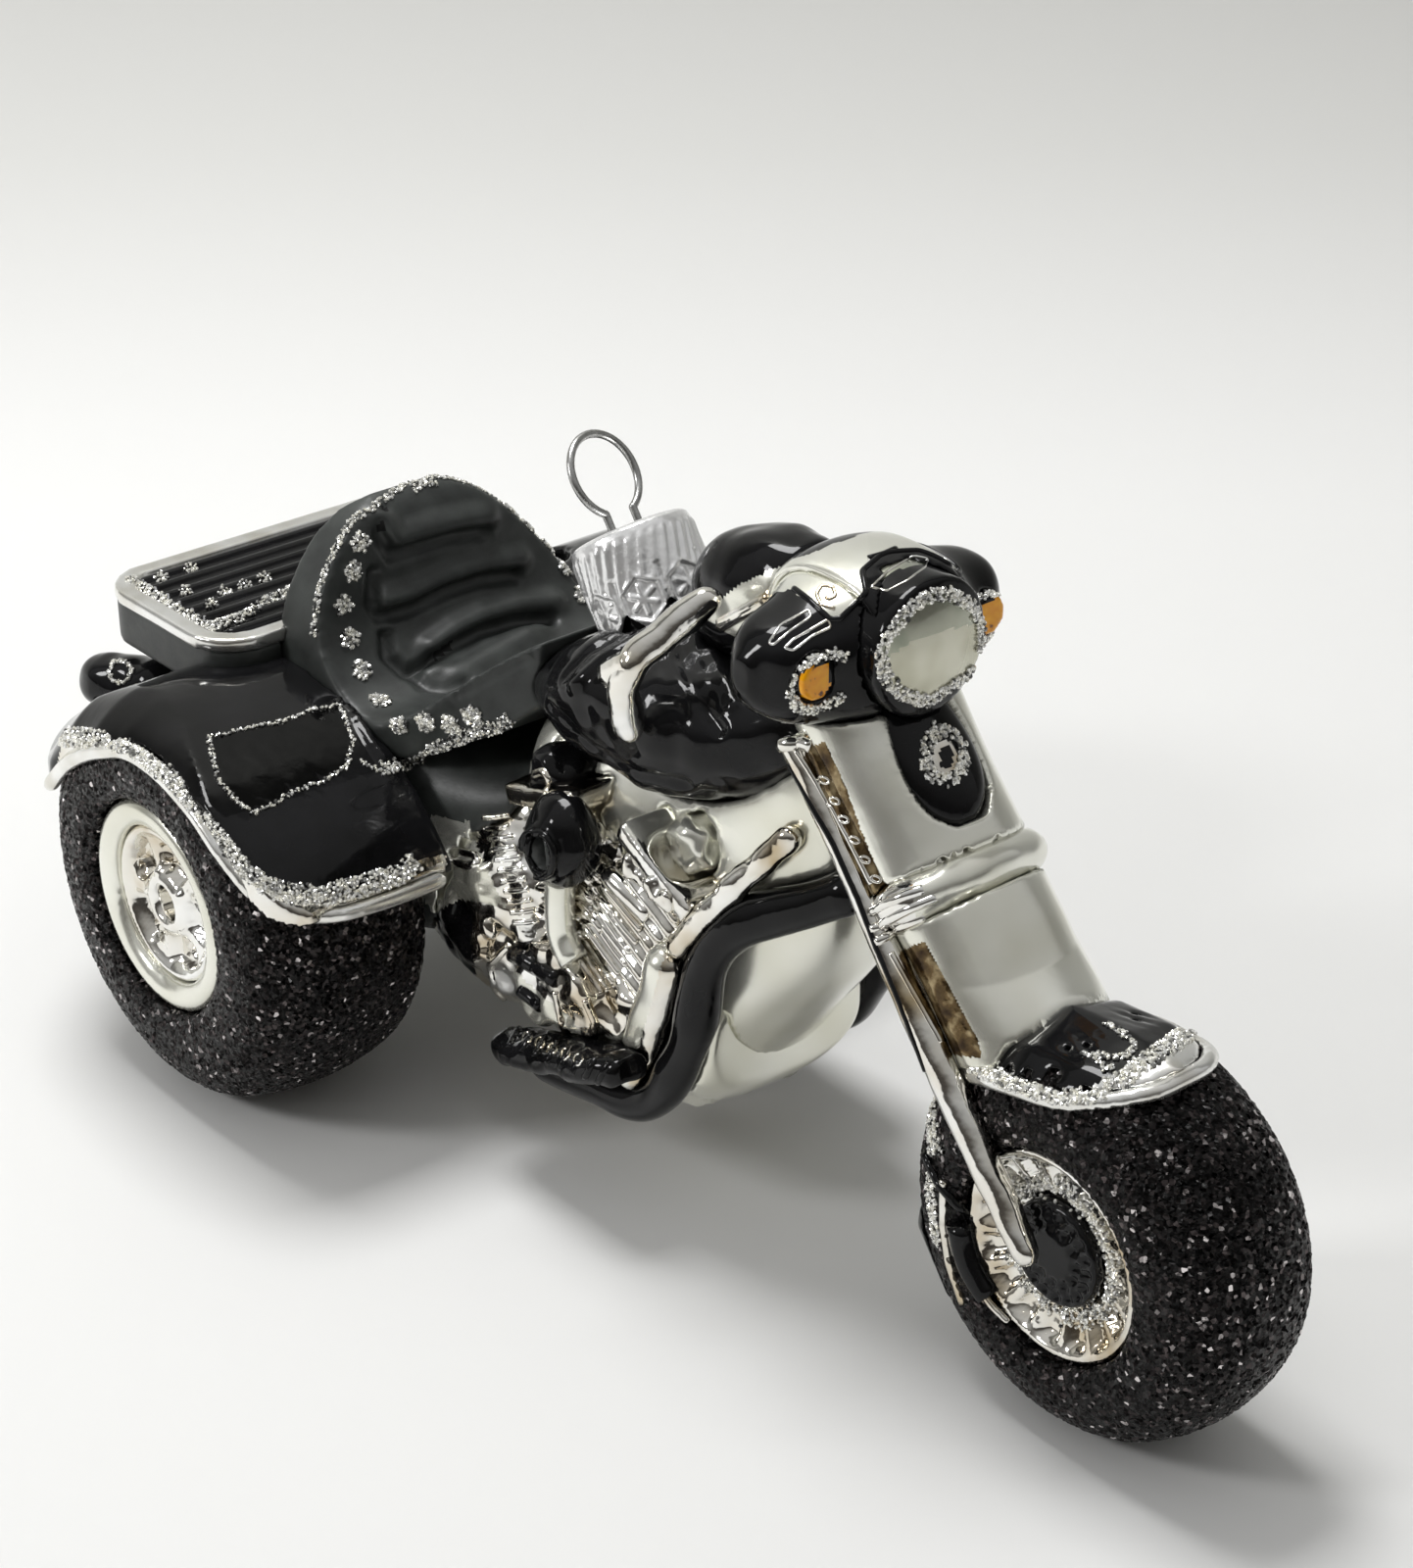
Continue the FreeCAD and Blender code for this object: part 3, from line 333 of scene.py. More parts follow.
lens_pearl = finish_of(
    "lens_pearl", (6.0, 2.0, [(0.38, (0.30, 0.33, 0.25)), (0.56, (0.46, 0.47, 0.38))]),
    (1.0, 2.0, 0.14, 0.22), 0.75, wave=(0.05, 5.0), more=[("Coat Weight", 0.8), ("Coat Roughness", 0.05)])
# A lighter pearl for the lens's lower half: painted reflection on the lens.
lens_cream_reflection = finish_of(
    "lens_cream_reflection", (6.0, 2.0, [(0.38, (0.50, 0.49, 0.38)), (0.6, (0.66, 0.65, 0.54))]),
    (2.0, 2.0, 0.16, 0.24), 0.7, wave=(0.05, 5.0))
print("silver and pearl ready")

# %% [markdown]
# The enamel is deep and wet-looking, a dark base under a clear coat, and the seat's charcoal is
# nearly matte with a fine sprayed grain. The seams between its pads and the fender panels are
# painted a darker black still, as painted shade in the grooves and in the recessed panels.

# %% Black enamel and charcoal
enamel = finish_of(
    "gloss_black", (7.0, 2.0, [(0.3, (0.003, 0.003, 0.003)), (0.7, (0.010, 0.010, 0.011))]),
    (2.5, 2.0, 0.05, 0.11), wave=(0.10, 4.5),
    more=[("Specular IOR Level", 0.14), ("Coat Weight", 0.20), ("Coat Roughness", 0.03)])
charcoal = finish_of(
    "matte_charcoal", (3.0, 4.0, [(0.3, (0.020, 0.022, 0.021)), (0.7, (0.042, 0.047, 0.044))]),
    (0.6, 3.0, 0.38, 0.50), wave=(0.06, 5.0), grain=(0.25, 2.0, 0.012))
# A near-black for the bottoms of the seat's channels: painted shade.
seam_shade_black = finish_of(
    "seam_shade_black", (1.5, 3.0, [(0.3, (0.002, 0.002, 0.002)), (0.7, (0.007, 0.007, 0.007))]),
    (0.6, 3.0, 0.5, 0.6), more=[("Specular IOR Level", 0.3)])
# A darker, less shiny black for the recessed fender panels: painted shade.
panel_shade_black = finish_of(
    "panel_shade_black", (4.0, 2.0, [(0.3, (0.001, 0.001, 0.001)), (0.7, (0.003, 0.003, 0.003))]),
    (2.5, 2.0, 0.06, 0.12), wave=(0.14, 3.0), more=[("Specular IOR Level", 0.18)])
print("black and charcoal ready")

# %% [markdown]
# Glitter is small square flakes that lie at all angles, so each catches the light by itself. On
# the tyres it is black and covers everything: there a cell pattern tips the normal cell by cell,
# and a few cells get a light colour, painted sparkle on top of what the tilt gives. The silver
# lines are fewer and coarser, so later they are real grains, and their finish gives each grain a
# brightness from dark grey to white: painted sparkle and shade on top of what its facets reflect.

# %% Glitter
FLAKE_MM, FLAKE_TILT = 0.42, 1.5

black_glitter, tree, shader, place = new_finish("black_glitter")
flake = new_node(tree, "TexVoronoi", {"Scale": 1 / (FLAKE_MM * MM), "Vector": place}).outputs["Color"]
tilt = new_node(tree, "VectorMath", {0: flake, 1: [FLAKE_TILT] * 3, 2: [-FLAKE_TILT / 2] * 3}, "MULTIPLY_ADD")
upright = new_node(tree, "NewGeometry", {}).outputs["Normal"]
lean = new_node(tree, "VectorMath", {0: tilt.outputs[0], 1: upright}, "ADD")
unit = new_node(tree, "VectorMath", {0: lean.outputs[0]}, "NORMALIZE")
spread = new_node(tree, "SeparateColor", {0: flake})
# The last stops make a few flakes light: painted sparkle.
flakes = [(0.0, (0.002, 0.002, 0.002)), (0.62, (0.010, 0.009, 0.009)), (0.90, (0.040, 0.034, 0.034)),
          (0.965, (0.12, 0.10, 0.10)), (1.0, (0.85, 0.80, 0.80))]
feed(tree, shader, {"Base Color": colours(tree, spread.outputs[0], flakes), "Metallic": 0.85,
                    "Roughness": to_range(tree, spread.outputs[1], 0.18, 0.45), "Normal": unit.outputs[0]})

silver_glitter, tree, shader, place = new_finish("silver_glitter")
island = new_node(tree, "NewGeometry", {}).outputs["Random Per Island"]
# Each grain's brightness from dark grey to white is painted sparkle and shade.
flakes = [(0.0, (0.08, 0.08, 0.08)), (0.15, (0.35, 0.35, 0.34)), (0.32, (1.0, 1.0, 0.98)),
          (1.0, (1.0, 0.98, 0.88))]
feed(tree, shader, {"Base Color": colours(tree, island, flakes), "Metallic": 0.72,
                    "Roughness": to_range(tree, noise(tree, place, 0.4), 0.06, 0.22)})
print("glitter ready")

# %% [markdown]
# Amber stones, stamped cap metal and steel wire.

# %% Amber, cap metal and wire
amber = finish_of(
    "amber_stone", (1.2, 3.0, [(0.30, (0.10, 0.025, 0.0)), (0.38, (0.90, 0.34, 0.0)),
                               (0.7, (1.0, 0.46, 0.005))]),
    (0.6, 2.0, 0.06, 0.14), more=[("Specular IOR Level", 0.3), ("Coat Weight", 0.3)])
amber_glass = finish_of(
    "amber_glass", (1.6, 4.0, [(0.34, (0.030, 0.016, 0.006)), (0.50, (0.13, 0.085, 0.035)),
                               (0.66, (0.42, 0.33, 0.19))]),
    (0.8, 2.0, 0.08, 0.2), 0.7, wave=(0.15, 1.6))
cap_metal = finish_of(
    "cap_metal", (2.0, 3.0, [(0.3, (0.84, 0.84, 0.84)), (0.7, (0.96, 0.96, 0.96))]),
    (0.3, 3.0, 0.16, 0.30), 0.65, grain=(0.7, 2.0, 0.05))
steel = finish_of(
    "steel_wire", (1.5, 3.0, [(0.3, (0.34, 0.34, 0.33)), (0.7, (0.56, 0.56, 0.55))]),
    (0.4, 2.0, 0.22, 0.34), 1.0)
print("finishes", len(bpy.data.materials))

# %% [markdown]
# Most forms come from the solids, which are crisp where they were cut. A mould for blown glass has
# no crisp edge, so each copy is merged, rebuilt as an even skin of small quads, and relaxed. That
# rounds every edge by about the skin's cell, and gives enough points to model relief later.

# %% Softening a solid
ORIGIN = np.array(at(0, 0, 0), np.float32)
CELLS_MM = {"fork_cover": 0.24, "fork_leg_right": 0.25, "fork_leg_left": 0.25, "rear_body": 0.5, "belly": 0.5,
            "rear_rim_right": 0.45, "rear_rim_left": 0.45, "rear_tyre_right": 0.4, "rear_tyre_left": 0.4}
MELTED = {"cylinder_front": 30, "cylinder_rear": 30, "rocker_front": 30, "rocker_rear": 30, "crankcase": 18,
          "gearbox": 18}


def soften(piece, finish, cell_mm, rounds):
    """Rebuilds a closed mesh as small even quads, relaxes it and gives it one finish."""
    skin = piece.modifiers.new("skin", "REMESH")
    skin.mode = "VOXEL"
    skin.voxel_size = cell_mm * MM
    relax = piece.modifiers.new("relax", "SMOOTH")
    relax.iterations = rounds
    ready = bpy.data.meshes.new_from_object(piece.evaluated_get(bpy.context.evaluated_depsgraph_get()))
    piece.modifiers.clear()
    old, piece.data = piece.data, ready
    bpy.data.meshes.remove(old)
    ready.polygons.foreach_set("use_smooth", [True] * len(ready.polygons))
    ready.materials.clear()
    ready.materials.append(finish)
    return piece


def soft_form(name, node, finish, cell_mm=0.4, rounds=6, body="glass_trike"):
    """One soft piece from a CAD node, which it replaces."""
    bm = bmesh.new()
    bm.from_mesh(NODES[node].data)
    bmesh.ops.remove_doubles(bm, verts=bm.verts, dist=2e-6)
    piece = new_piece(name, bm, finish, body)
    soften(piece, finish, CELLS_MM.get(node, cell_mm), MELTED.get(node, rounds))
    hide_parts(node)
    return piece


print("origin", [round(float(c), 4) for c in ORIGIN])

# %% [markdown]
# Relief is modelled by moving a skin's points along their normals, all at once. That is quick when
# the points of a piece are one array, in millimetres from the rear axle, so these helpers read and
# write it.

# %% The points of a piece
def rows_of(items, key):
    """One vector of every vertex or face of a mesh, as rows of x, y, z."""
    rows = np.empty(len(items) * 3, np.float32)
    items.foreach_get(key, rows)
    return rows.reshape(-1, 3)


def points_of(piece):
    """The vertices of a piece in millimetres from the rear axle, as rows of x, y, z."""
    return (rows_of(piece.data.vertices, "co") - ORIGIN) / MM


def set_points(piece, rows):
    """Puts the vertices of a piece at rows of x, y, z in millimetres from the rear axle."""
    piece.data.vertices.foreach_set("co", np.asarray(rows * MM + np.array(at(0, 0, 0)), np.float32).ravel())
    piece.data.update()


def normals_of(piece):
    """The vertex normals of a piece, as rows of x, y, z."""
    return rows_of(piece.data.vertices, "normal")


print("soft tools ready, special cells", len(CELLS_MM))

# %% [markdown]
# Now each solid gets its soft copy and its finish. Pieces in the middle are listed one by one, and
# pieces at both sides only once, because the loop makes the right one and then the left.

# %% Soft copies of the solids
plain = [
    ("trunk_skin", "trunk", charcoal), ("rack_rim", "rack_frame", lip_silver),
    ("rack_ribs", "rack_slats", enamel),
    ("seat_skin", "seat", charcoal), ("tank_skin", "tank", enamel), ("dash_lump", "dash", enamel),
    ("tub_skin", "rear_body", charcoal), ("belly_skin", "belly", pearl), ("fork_skin", "fork_cover", pearl),
    ("fork_band", "fork_clamp", silver), ("nacelle_skin", "nacelle", enamel), ("visor_skin", "visor", pearl),
    ("horn_skin", "horn_drop", enamel), ("front_fender_skin", "front_fender", enamel),
    ("front_fender_bead", "front_fender_lip", lip_silver), ("front_tyre_skin", "front_tyre", black_glitter),
    ("front_rim_relief", "front_rim", silver), ("front_cylinder", "cylinder_front", silver),
    ("rear_cylinder", "cylinder_rear", silver), ("crankcase_relief", "crankcase", silver),
    ("gearbox_relief", "gearbox", silver), ("front_rocker", "rocker_front", silver),
    ("rear_rocker", "rocker_rear", silver), ("neck_glass", "cap_neck", enamel),
    ("lens_skin", "headlamp", lens_pearl),
]
made = {name: soft_form(name, node, finish) for name, node, finish in plain}
paired = [
    ("fender_skin", "fender", enamel), ("fender_bead", "fender_lip", lip_silver),
    ("tyre_skin", "rear_tyre", black_glitter),
    ("rim_ring", "rear_rim", pearl), ("hub_relief", "rear_hub", silver), ("tail_lamp", "tail_light", enamel),
    ("side_stone", "signal", amber), ("bar_tube", "handlebar", silver), ("fork_tube", "fork_leg", silver),
    ("disc_relief", "brake_disc", enamel), ("crash_tube", "crash_bar", enamel),
    ("foot_plate", "footboard", enamel),
    ("frame_tube", "down_tube", silver), ("side_band", "side_tube", pearl),
    ("channel", "fork_channel", amber_glass),
]
for name, node, finish in paired:
    for side in ("_right", "_left"):
        made[name + side] = soft_form(name + side, node + side, finish, 0.35)
print("soft pieces", len(made), "faces", sum(len(p.data.polygons) for p in made.values()))

# %% [markdown]
# Blown glass is never quite even. Each piece gets slow lumps of its own size, in millimetres
# across and millimetres high. The fork cover's front also swells between its edges, and it has a
# ridge below the clamp that narrows towards the fender.

# %% Uneven glass
MELTED_TO_X = 56.0


def uneven(piece, lump_mm, rise_mm):
    """Moves a piece's points in and out by slow noise, as hand-blown glass does."""
    rows = points_of(piece)
    lift = np.array([slow_noise.noise(Vector(row) / lump_mm) for row in rows.tolist()], np.float32)
    if piece.name in ("crankcase_relief", "gearbox_relief"):
        lift *= rows[:, 0] < MELTED_TO_X
    set_points(piece, rows + normals_of(piece) * (lift * rise_mm)[:, None])


lumpy = [
    ("tank_skin", 6.0, 0.55), ("tank_skin", 2.6, 0.22), ("dash_lump", 3.5, 0.35), ("nacelle_skin", 6.0, 0.30),
    ("crash_tube", 6.0, 0.35), ("fork_skin", 9.0, 0.25), ("crankcase_relief", 3.4, 0.8),
    ("gearbox_relief", 3.4, 0.8),
    ("crankcase_relief", 1.7, 0.35), ("gearbox_relief", 1.7, 0.35), ("front_rocker", 2.2, 0.6),
    ("rear_rocker", 2.2, 0.6), ("front_cylinder", 3.0, 0.15), ("rear_cylinder", 3.0, 0.2),
    ("side_band", 4.0, 0.3),
    ("frame_tube", 2.5, 0.3), ("fork_tube", 3.0, 0.15), ("bar_tube", 2.8, 0.4), ("tail_lamp", 3.0, 0.3),
    ("fork_band", 3.0, 0.25), ("foot_plate", 2.2, 0.4),
]
for name, lump_mm, rise_mm in lumpy:
    for full_name in [name] if name in made else [name + "_right", name + "_left"]:
        uneven(made[full_name], lump_mm, rise_mm)

SWELL_MM, RIDGE_MM = 1.0, 1.3
cover = made["fork_skin"]
rows, facing = points_of(cover), normals_of(cover)
front = np.clip((facing[:, 0] - 0.3) / 0.4, 0, 1)
half_y = np.abs(rows[:, 1]).max()
swell = SWELL_MM * (1 - (rows[:, 1] / half_y) ** 2) * front
clamp_z, cover_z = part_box("fork_clamp")[0].z / MM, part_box("fork_cover")[0].z / MM
height = np.clip((rows[:, 2] - cover_z) / (clamp_z - cover_z), 0, 1)
ridge = RIDGE_MM * np.clip((clamp_z - rows[:, 2]) / 4, 0,
                           1) * np.exp(-(rows[:, 1] / (3 + 5 * height)) ** 2) * front
set_points(cover, rows + facing * (swell + ridge)[:, None])

NODES["hanger"].data.materials.clear()
NODES["hanger"].data.materials.append(steel)
print("uneven forms", len(lumpy))

# %% [markdown]
# The small things on the glass are laid with the camera's own lines of sight. A pixel of the
# picture is a line into the scene, and where it meets a piece there is a point with a normal. A
# row of pixels gives a line on the glass. The left side gets the same line, mirrored and set down
# on the nearest glass there.

# %% Lines on the glass
MIDDLE = Vector((1, -1, 1))
LEAP_MM = 4


def skins(names):
    """A search tree for each named piece as it is now."""
    meshes = [made[name].data for name in names]
    return [BVHTree.FromPolygons([v.co for v in mesh.vertices], [p.vertices for p in mesh.polygons])
            for mesh in meshes]


def left_skins(names):
    """The same on the trike's left side."""
    return skins([name.replace("_right", "_left") for name in names])


def aimed(u, v, trees):
    """The nearest point and normal that a pixel's line of sight meets, or None."""
    hits = [tree.ray_cast(CAMERA_AT, sight(u, v)) for tree in trees]
    hits = [(hit[3], hit[0], hit[1]) for hit in hits if hit[0]]
    return min(hits, key=lambda hit: hit[0])[1:] if hits else None


def evenly(places, step_mm):
    """Points and normals at equal steps along a line that is given by closer ones."""
    kept, walked = places[:1], 0.0
    for before, after in zip(places, places[1:]):
        walked += (after[0] - before[0]).length
        if walked >= step_mm * MM:
            kept.append(after)
            walked = 0.0
    return kept


def every_pixel(row):
    """Every pixel along a row of corners."""
    for (u0, v0), (u1, v1) in zip(row, row[1:]):
        steps = max(2, int(math.hypot(u1 - u0, v1 - v0)))
        for i in range(steps):
            yield u0 + i / steps * (u1 - u0), v0 + i / steps * (v1 - v0)


def traced(pixels, trees, step_mm=0.3, closed=False):
    """The line that a row of pixels draws on some pieces, as evenly spaced points and normals.

    Where the line of sight slips off to something far behind, the point is left out.
    """
    places = []
    for u, v in every_pixel(pixels + pixels[:1] if closed else pixels):
        hit = aimed(u, v, trees)
        if hit and (not places or (hit[0] - places[-1][0]).length < LEAP_MM * MM):
            places.append(hit)
    return evenly(places, step_mm)


def on_level(pixels, level, step_mm, trees):
    """A row of pixels on the upright plane along the trike through the glass at the pixel level."""
    y = aimed(*level, trees)[0].y
    rays = [sight(u, v) for u, v in every_pixel(pixels)]
    return evenly([(CAMERA_AT + ray * ((y - CAMERA_AT.y) / ray.y), Vector((0, -1, 0))) for ray in rays],
                  step_mm)


def set_down(points, trees):
    """The nearest point and normal on some pieces for each of some points."""
    placed = []
    for point in points:
        hits = [tree.find_nearest(point) for tree in trees]
        hits = [(hit[3], hit[0], hit[1]) for hit in hits if hit[0]]
        placed.append(min(hits, key=lambda hit: hit[0])[1:])
    return placed


print("lines of sight meet the glass, leaps over", LEAP_MM, "mm are left out")

# %% [markdown]
# A seam in the seat or a fold in the tank is a rounded groove or ridge along such a line. Each
# point of the skin moves by how near it is to the line, and the faces that are nearest can get a
# second finish.

# %% Relief and paint along a line
FAR_MM, ROWS_AT_ONCE = 1e6, 8000


def in_mm(places):
    """The points of some places as rows of x, y, z in millimetres from the rear axle."""
    return np.array([list((point - at(0, 0, 0)) / MM) for point, normal in places], np.float32)


def off_line(rows, line, reach):
    """How far each of the rows is from a line of points, up to a reach, both in millimetres."""
    best = np.full(len(rows), FAR_MM, np.float32)
    low, high = line.min(0) - reach, line.max(0) + reach
    near = np.where(((rows > low) & (rows < high)).all(1))[0]
    for start in range(0, len(near), ROWS_AT_ONCE):
        some = near[start:start + ROWS_AT_ONCE]
        gaps = rows[some, None, :] - line[None]
        best[some] = np.sqrt((gaps ** 2).sum(-1).min(-1))
    return best


def emboss(name, line, reach_mm, rise_mm):
    """Raises (or sinks) a rounded ridge along a line of millimetre points on a piece."""
    piece = made[name]
    rows = points_of(piece)
    gap = off_line(rows, line, reach_mm)
    share = np.where(gap < reach_mm, 0.5 + 0.5 * np.cos(np.pi * gap / reach_mm), 0)
    set_points(piece, rows + normals_of(piece) * (rise_mm * share)[:, None])


def give(piece, finish, chosen):
    """Gives a second finish to the chosen faces of a piece."""
    if finish.name not in piece.data.materials:
        piece.data.materials.append(finish)
    slots = np.empty(len(piece.data.polygons), np.int32)
    piece.data.polygons.foreach_get("material_index", slots)
    slots[chosen] = piece.data.materials.find(finish.name)
    piece.data.polygons.foreach_set("material_index", slots)


def paint(name, finish, line, reach_mm):
    """Gives a second finish to the faces of a piece that lie close to a line."""
    rows = (rows_of(made[name].data.polygons, "center") - ORIGIN) / MM
    give(made[name], finish, off_line(rows, line, reach_mm) < reach_mm)


print("relief tools ready")

# %% [markdown]
# Silver glitter is cut flakes and beads glued on in lines. Each grain here is one icosahedron,
# flattened and turned by chance, with flat faces, so that every face mirrors another part of the
# room. A band is filled by stepping along its line and dropping grains to both sides.

# %% Grains of glitter
SEED_TURN = 2.4
bm = bmesh.new()
bmesh.ops.create_icosphere(bm, subdivisions=1, radius=1.0)
one_grain = bpy.data.meshes.new("one_grain")
bm.to_mesh(one_grain)
bm.free()
grain_shape = rows_of(one_grain.vertices, "co")


def drop_grains(bm, places, size_mm):
    """Adds one grain at each place, about size_mm across, half sunk into the glue."""
    for point, normal in places:
        size = size_mm / 2 * MM * chance.uniform(0.7, 1.2)
        turned = Euler([chance.uniform(0, math.tau) for axis in range(3)]).to_matrix()
        shape = grain_shape * np.array([size, size, size * chance.uniform(0.5, 1.0)], np.float32)
        shape = shape @ np.array(turned, np.float32).T + np.array(point + normal * size * 0.5, np.float32)
        one_grain.vertices.foreach_set("co", shape.ravel())
        bm.from_mesh(one_grain)


def band(places, trees, width_mm, size_mm, per_step, closed=False):
    """Places for grains over a band as wide as width_mm along a line."""
    spread = []
    for i, (point, normal) in enumerate(places):
        after = places[(i + 1) % len(places)][0] if closed else places[min(i + 1, len(places) - 1)][0]
        before = places[i - 1][0] if closed or i else point
        along = (after - before).normalized()
        sideways = normal.cross(along)
        for grain in range(per_step):
            to_side, ahead = chance.uniform(-0.5, 0.5), chance.uniform(-0.5, 0.5)
            spread.append(point + (sideways * to_side * width_mm + along * ahead * size_mm) * MM)
    return set_down(spread, trees)


def cluster(centre, trees, radius_mm, count):
    """Places for a round cluster of grains about the point that a pixel meets."""
    hit = aimed(*centre, trees)
    if not hit:
        return []
    point, normal = hit
    first = normal.orthogonal().normalized()
    second = normal.cross(first)
    spread = []
    for i in range(count):
        reach = radius_mm * math.sqrt((i + 0.5) / count) * MM
        turn_by = i * SEED_TURN + chance.uniform(-0.3, 0.3)
        spread.append(point + first * reach * math.cos(turn_by) + second * reach * math.sin(turn_by))
    return set_down(spread, trees)


def glitter(name, lines, names, both=True, dots=(), out_mm=0.0):
    """One piece of grains: along lines of (pixels, width_mm, size_mm, grains a step, closed), and
    in round dots of (centre, radius_mm, size_mm, count). On the left side the grains start out_mm
    further out before they are set down."""
    bm = bmesh.new()
    trees = skins(names)
    left_trees = left_skins(names) if both else None

    def lay(places, size_mm):
        drop_grains(bm, places, size_mm)
        if both:
            across = [point * MIDDLE + Vector((0, out_mm * MM, 0)) for point, normal in places]
            drop_grains(bm, set_down(across, left_trees), size_mm)

    for pixels, width_mm, size_mm, per_step, closed in lines:
        places = traced(pixels, trees, size_mm * 0.75, closed)
        lay(band(places, trees, width_mm, size_mm, per_step, closed), size_mm)
    for centre, radius_mm, size_mm, count in dots:
        lay(cluster(centre, trees, radius_mm, count), size_mm)
    made[name] = new_piece(name, bm, silver_glitter)
    print(name, len(made[name].data.polygons) // 20, "grains")


print("one grain has", len(one_grain.polygons), "faces")

# %% [markdown]
# Thin moulded lines, such as slot edges, fins and small rings, are tubes half sunk into the glass.
# A NURBS curve with a round bevel makes each of them, and is then turned into a mesh.

# %% Moulded lines
FINEST_STEP_MM = 0.35


def tubes(name, lines, radius_mm, finish, names, both=True, closed=False, sink=0.3, level=None):
    """One mesh of tubes that follow pixel lines over some pieces, or on a plane if level is given."""
    curve = bpy.data.curves.new(name, "CURVE")
    curve.dimensions = "3D"
    curve.bevel_depth = radius_mm * MM
    curve.bevel_resolution = 2
    curve.resolution_u = 3
    curve.use_fill_caps = True
    trees = skins(names)
    left_trees = left_skins(names)
    for pixels in lines:
        step_mm = max(FINEST_STEP_MM, radius_mm)
        if level:
            places = on_level(pixels, level, step_mm, trees)
        else:
            places = traced(pixels, trees, step_mm, closed)
        if len(places) < 4:
            print("no glass under", name, pixels[0])
            continue
        runs = [places]
        if both:
            across = [(point * MIDDLE, normal * MIDDLE) for point, normal in places]
            runs.append(across if level else set_down([point for point, normal in across], left_trees))
        for run in runs:
            spline = curve.splines.new("NURBS")
            spline.points.add(len(run) - 1)
            for knot, (point, normal) in zip(spline.points, run):
                knot.co = (*(point - normal * radius_mm * sink * MM), 1)
            spline.order_u = 3
            spline.use_cyclic_u = closed
            spline.use_endpoint_u = not closed
    holder = bpy.data.objects.new(name + "_line", curve)
    bpy.context.scene.collection.objects.link(holder)
    mesh = bpy.data.meshes.new_from_object(holder.evaluated_get(bpy.context.evaluated_depsgraph_get()))
    bpy.data.objects.remove(holder)
    bpy.data.curves.remove(curve)
    bm = bmesh.new()
    bm.from_mesh(mesh)
    bpy.data.meshes.remove(mesh)
    bmesh.ops.remove_doubles(bm, verts=bm.verts, dist=1e-6)
    for face in bm.faces:
        face.smooth = True
        face.material_index = 0
    made[name] = new_piece(name, bm, finish)
    print(name, len(made[name].data.polygons), "faces")


print("tubes ready, finest step", FINEST_STEP_MM, "mm")

# %% [markdown]
# The lacquer is painted by hand over the moulded forms, so its edges do not follow the solids.
# Here a painted area has a border drawn in the picture: every face whose middle falls inside it
# gets the second finish, and its mirror image can get it too.

# %% Painted areas
def pixels_of(rows):
    """Where points in metres land in the picture."""
    x, y, z = ((rows - np.array(CAMERA_AT, np.float32)) @ np.array(turn, np.float32)).T
    return PICTURE_W / 2 - FOCAL_PX * x / z, PICTURE_H / 2 + FOCAL_PX * y / z


def inside(border, u, v):
    """Which of some pixels lie inside a closed border."""
    within = np.zeros(len(u), bool)
    for (u0, v0), (u1, v1) in zip(border, border[1:] + border[:1]):
        if v0 != v1:
            within ^= ((v0 > v) != (v1 > v)) & (u < (u1 - u0) * (v - v0) / (v1 - v0) + u0)
    return within


def fill(name, finish, border, mirrored=False):
    """Gives a second finish to the faces of a piece inside a border, or inside its mirror image."""
    middles = rows_of(made[name].data.polygons, "center")
    if mirrored:
        middles = middles * np.array(MIDDLE, np.float32)
    give(made[name], finish, inside(border, *pixels_of(middles)))


def fill_both(name, finish, border):
    """Fills a right piece and the mirror image on its left twin, or both halves of a middle piece."""
    fill(name, finish, border)
    fill(name.replace("_right", "_left"), finish, border, mirrored=True)


def oval(u, v, half_u, half_v, lean_deg=0, count=16):
    """The pixels of an oval, leaning clockwise by lean_deg."""
    lean = math.radians(lean_deg)
    turns = [math.tau * i / count for i in range(count)]
    ring = [(half_u * math.cos(a), half_v * math.sin(a)) for a in turns]
    return [(u + x * math.cos(lean) - y * math.sin(lean), v + x * math.sin(lean) + y * math.cos(lean))
            for x, y in ring]


print("an oval has", len(oval(0, 0, 1, 1)), "corners")
# %% [markdown]
# The seat is moulded glass, sprayed charcoal. Its padding is only drawn: dark channels between
# long puffy pads that bend round at their near ends. Each channel is pressed into the skin along
# a line, with a low swell beside it, and painted darker as painted shade. Studs and piping are
# glitter.

# %% Seat channels, studs and piping
CHANNEL_REACH, CHANNEL_DEPTH, PAD_REACH, PAD_RISE = 1.4, 1.1, 2.4, 1.0
channels = [
    [(392, 522), (387, 545), (400, 567), (428, 558), (460, 549), (496, 544)],
    [(382, 586), (380, 616), (388, 630), (417, 622), (453, 604), (489, 592), (528, 587)],
    [(394, 648), (396, 669), (415, 686), (435, 678), (460, 660), (489, 645), (524, 635), (562, 631)],
    [(424, 691), (435, 701), (453, 703), (471, 698), (503, 680), (546, 659)],
    [(467, 707), (510, 685), (539, 669)],
]
seat_trees = skins(["seat_skin"])
for pixels, depth in zip(channels, (1.0, 1.0, 1.1, 0.6, 0.4)):
    line = in_mm(traced(pixels, seat_trees))
    print("channel y", line[:, 1].min().round(1), "to", line[:, 1].max().round(1), "mm")
    pad = in_mm(traced([(u + 4, v - 17) for u, v in pixels[-5:]], seat_trees))
    emboss("seat_skin", pad, PAD_REACH, PAD_RISE * depth)
    emboss("seat_skin", line, CHANNEL_REACH, -CHANNEL_DEPTH * depth)
    # The groove's faces are painted a darker black: painted shade in the channel.
    paint("seat_skin", seam_shade_black, line, 0.5 * depth)

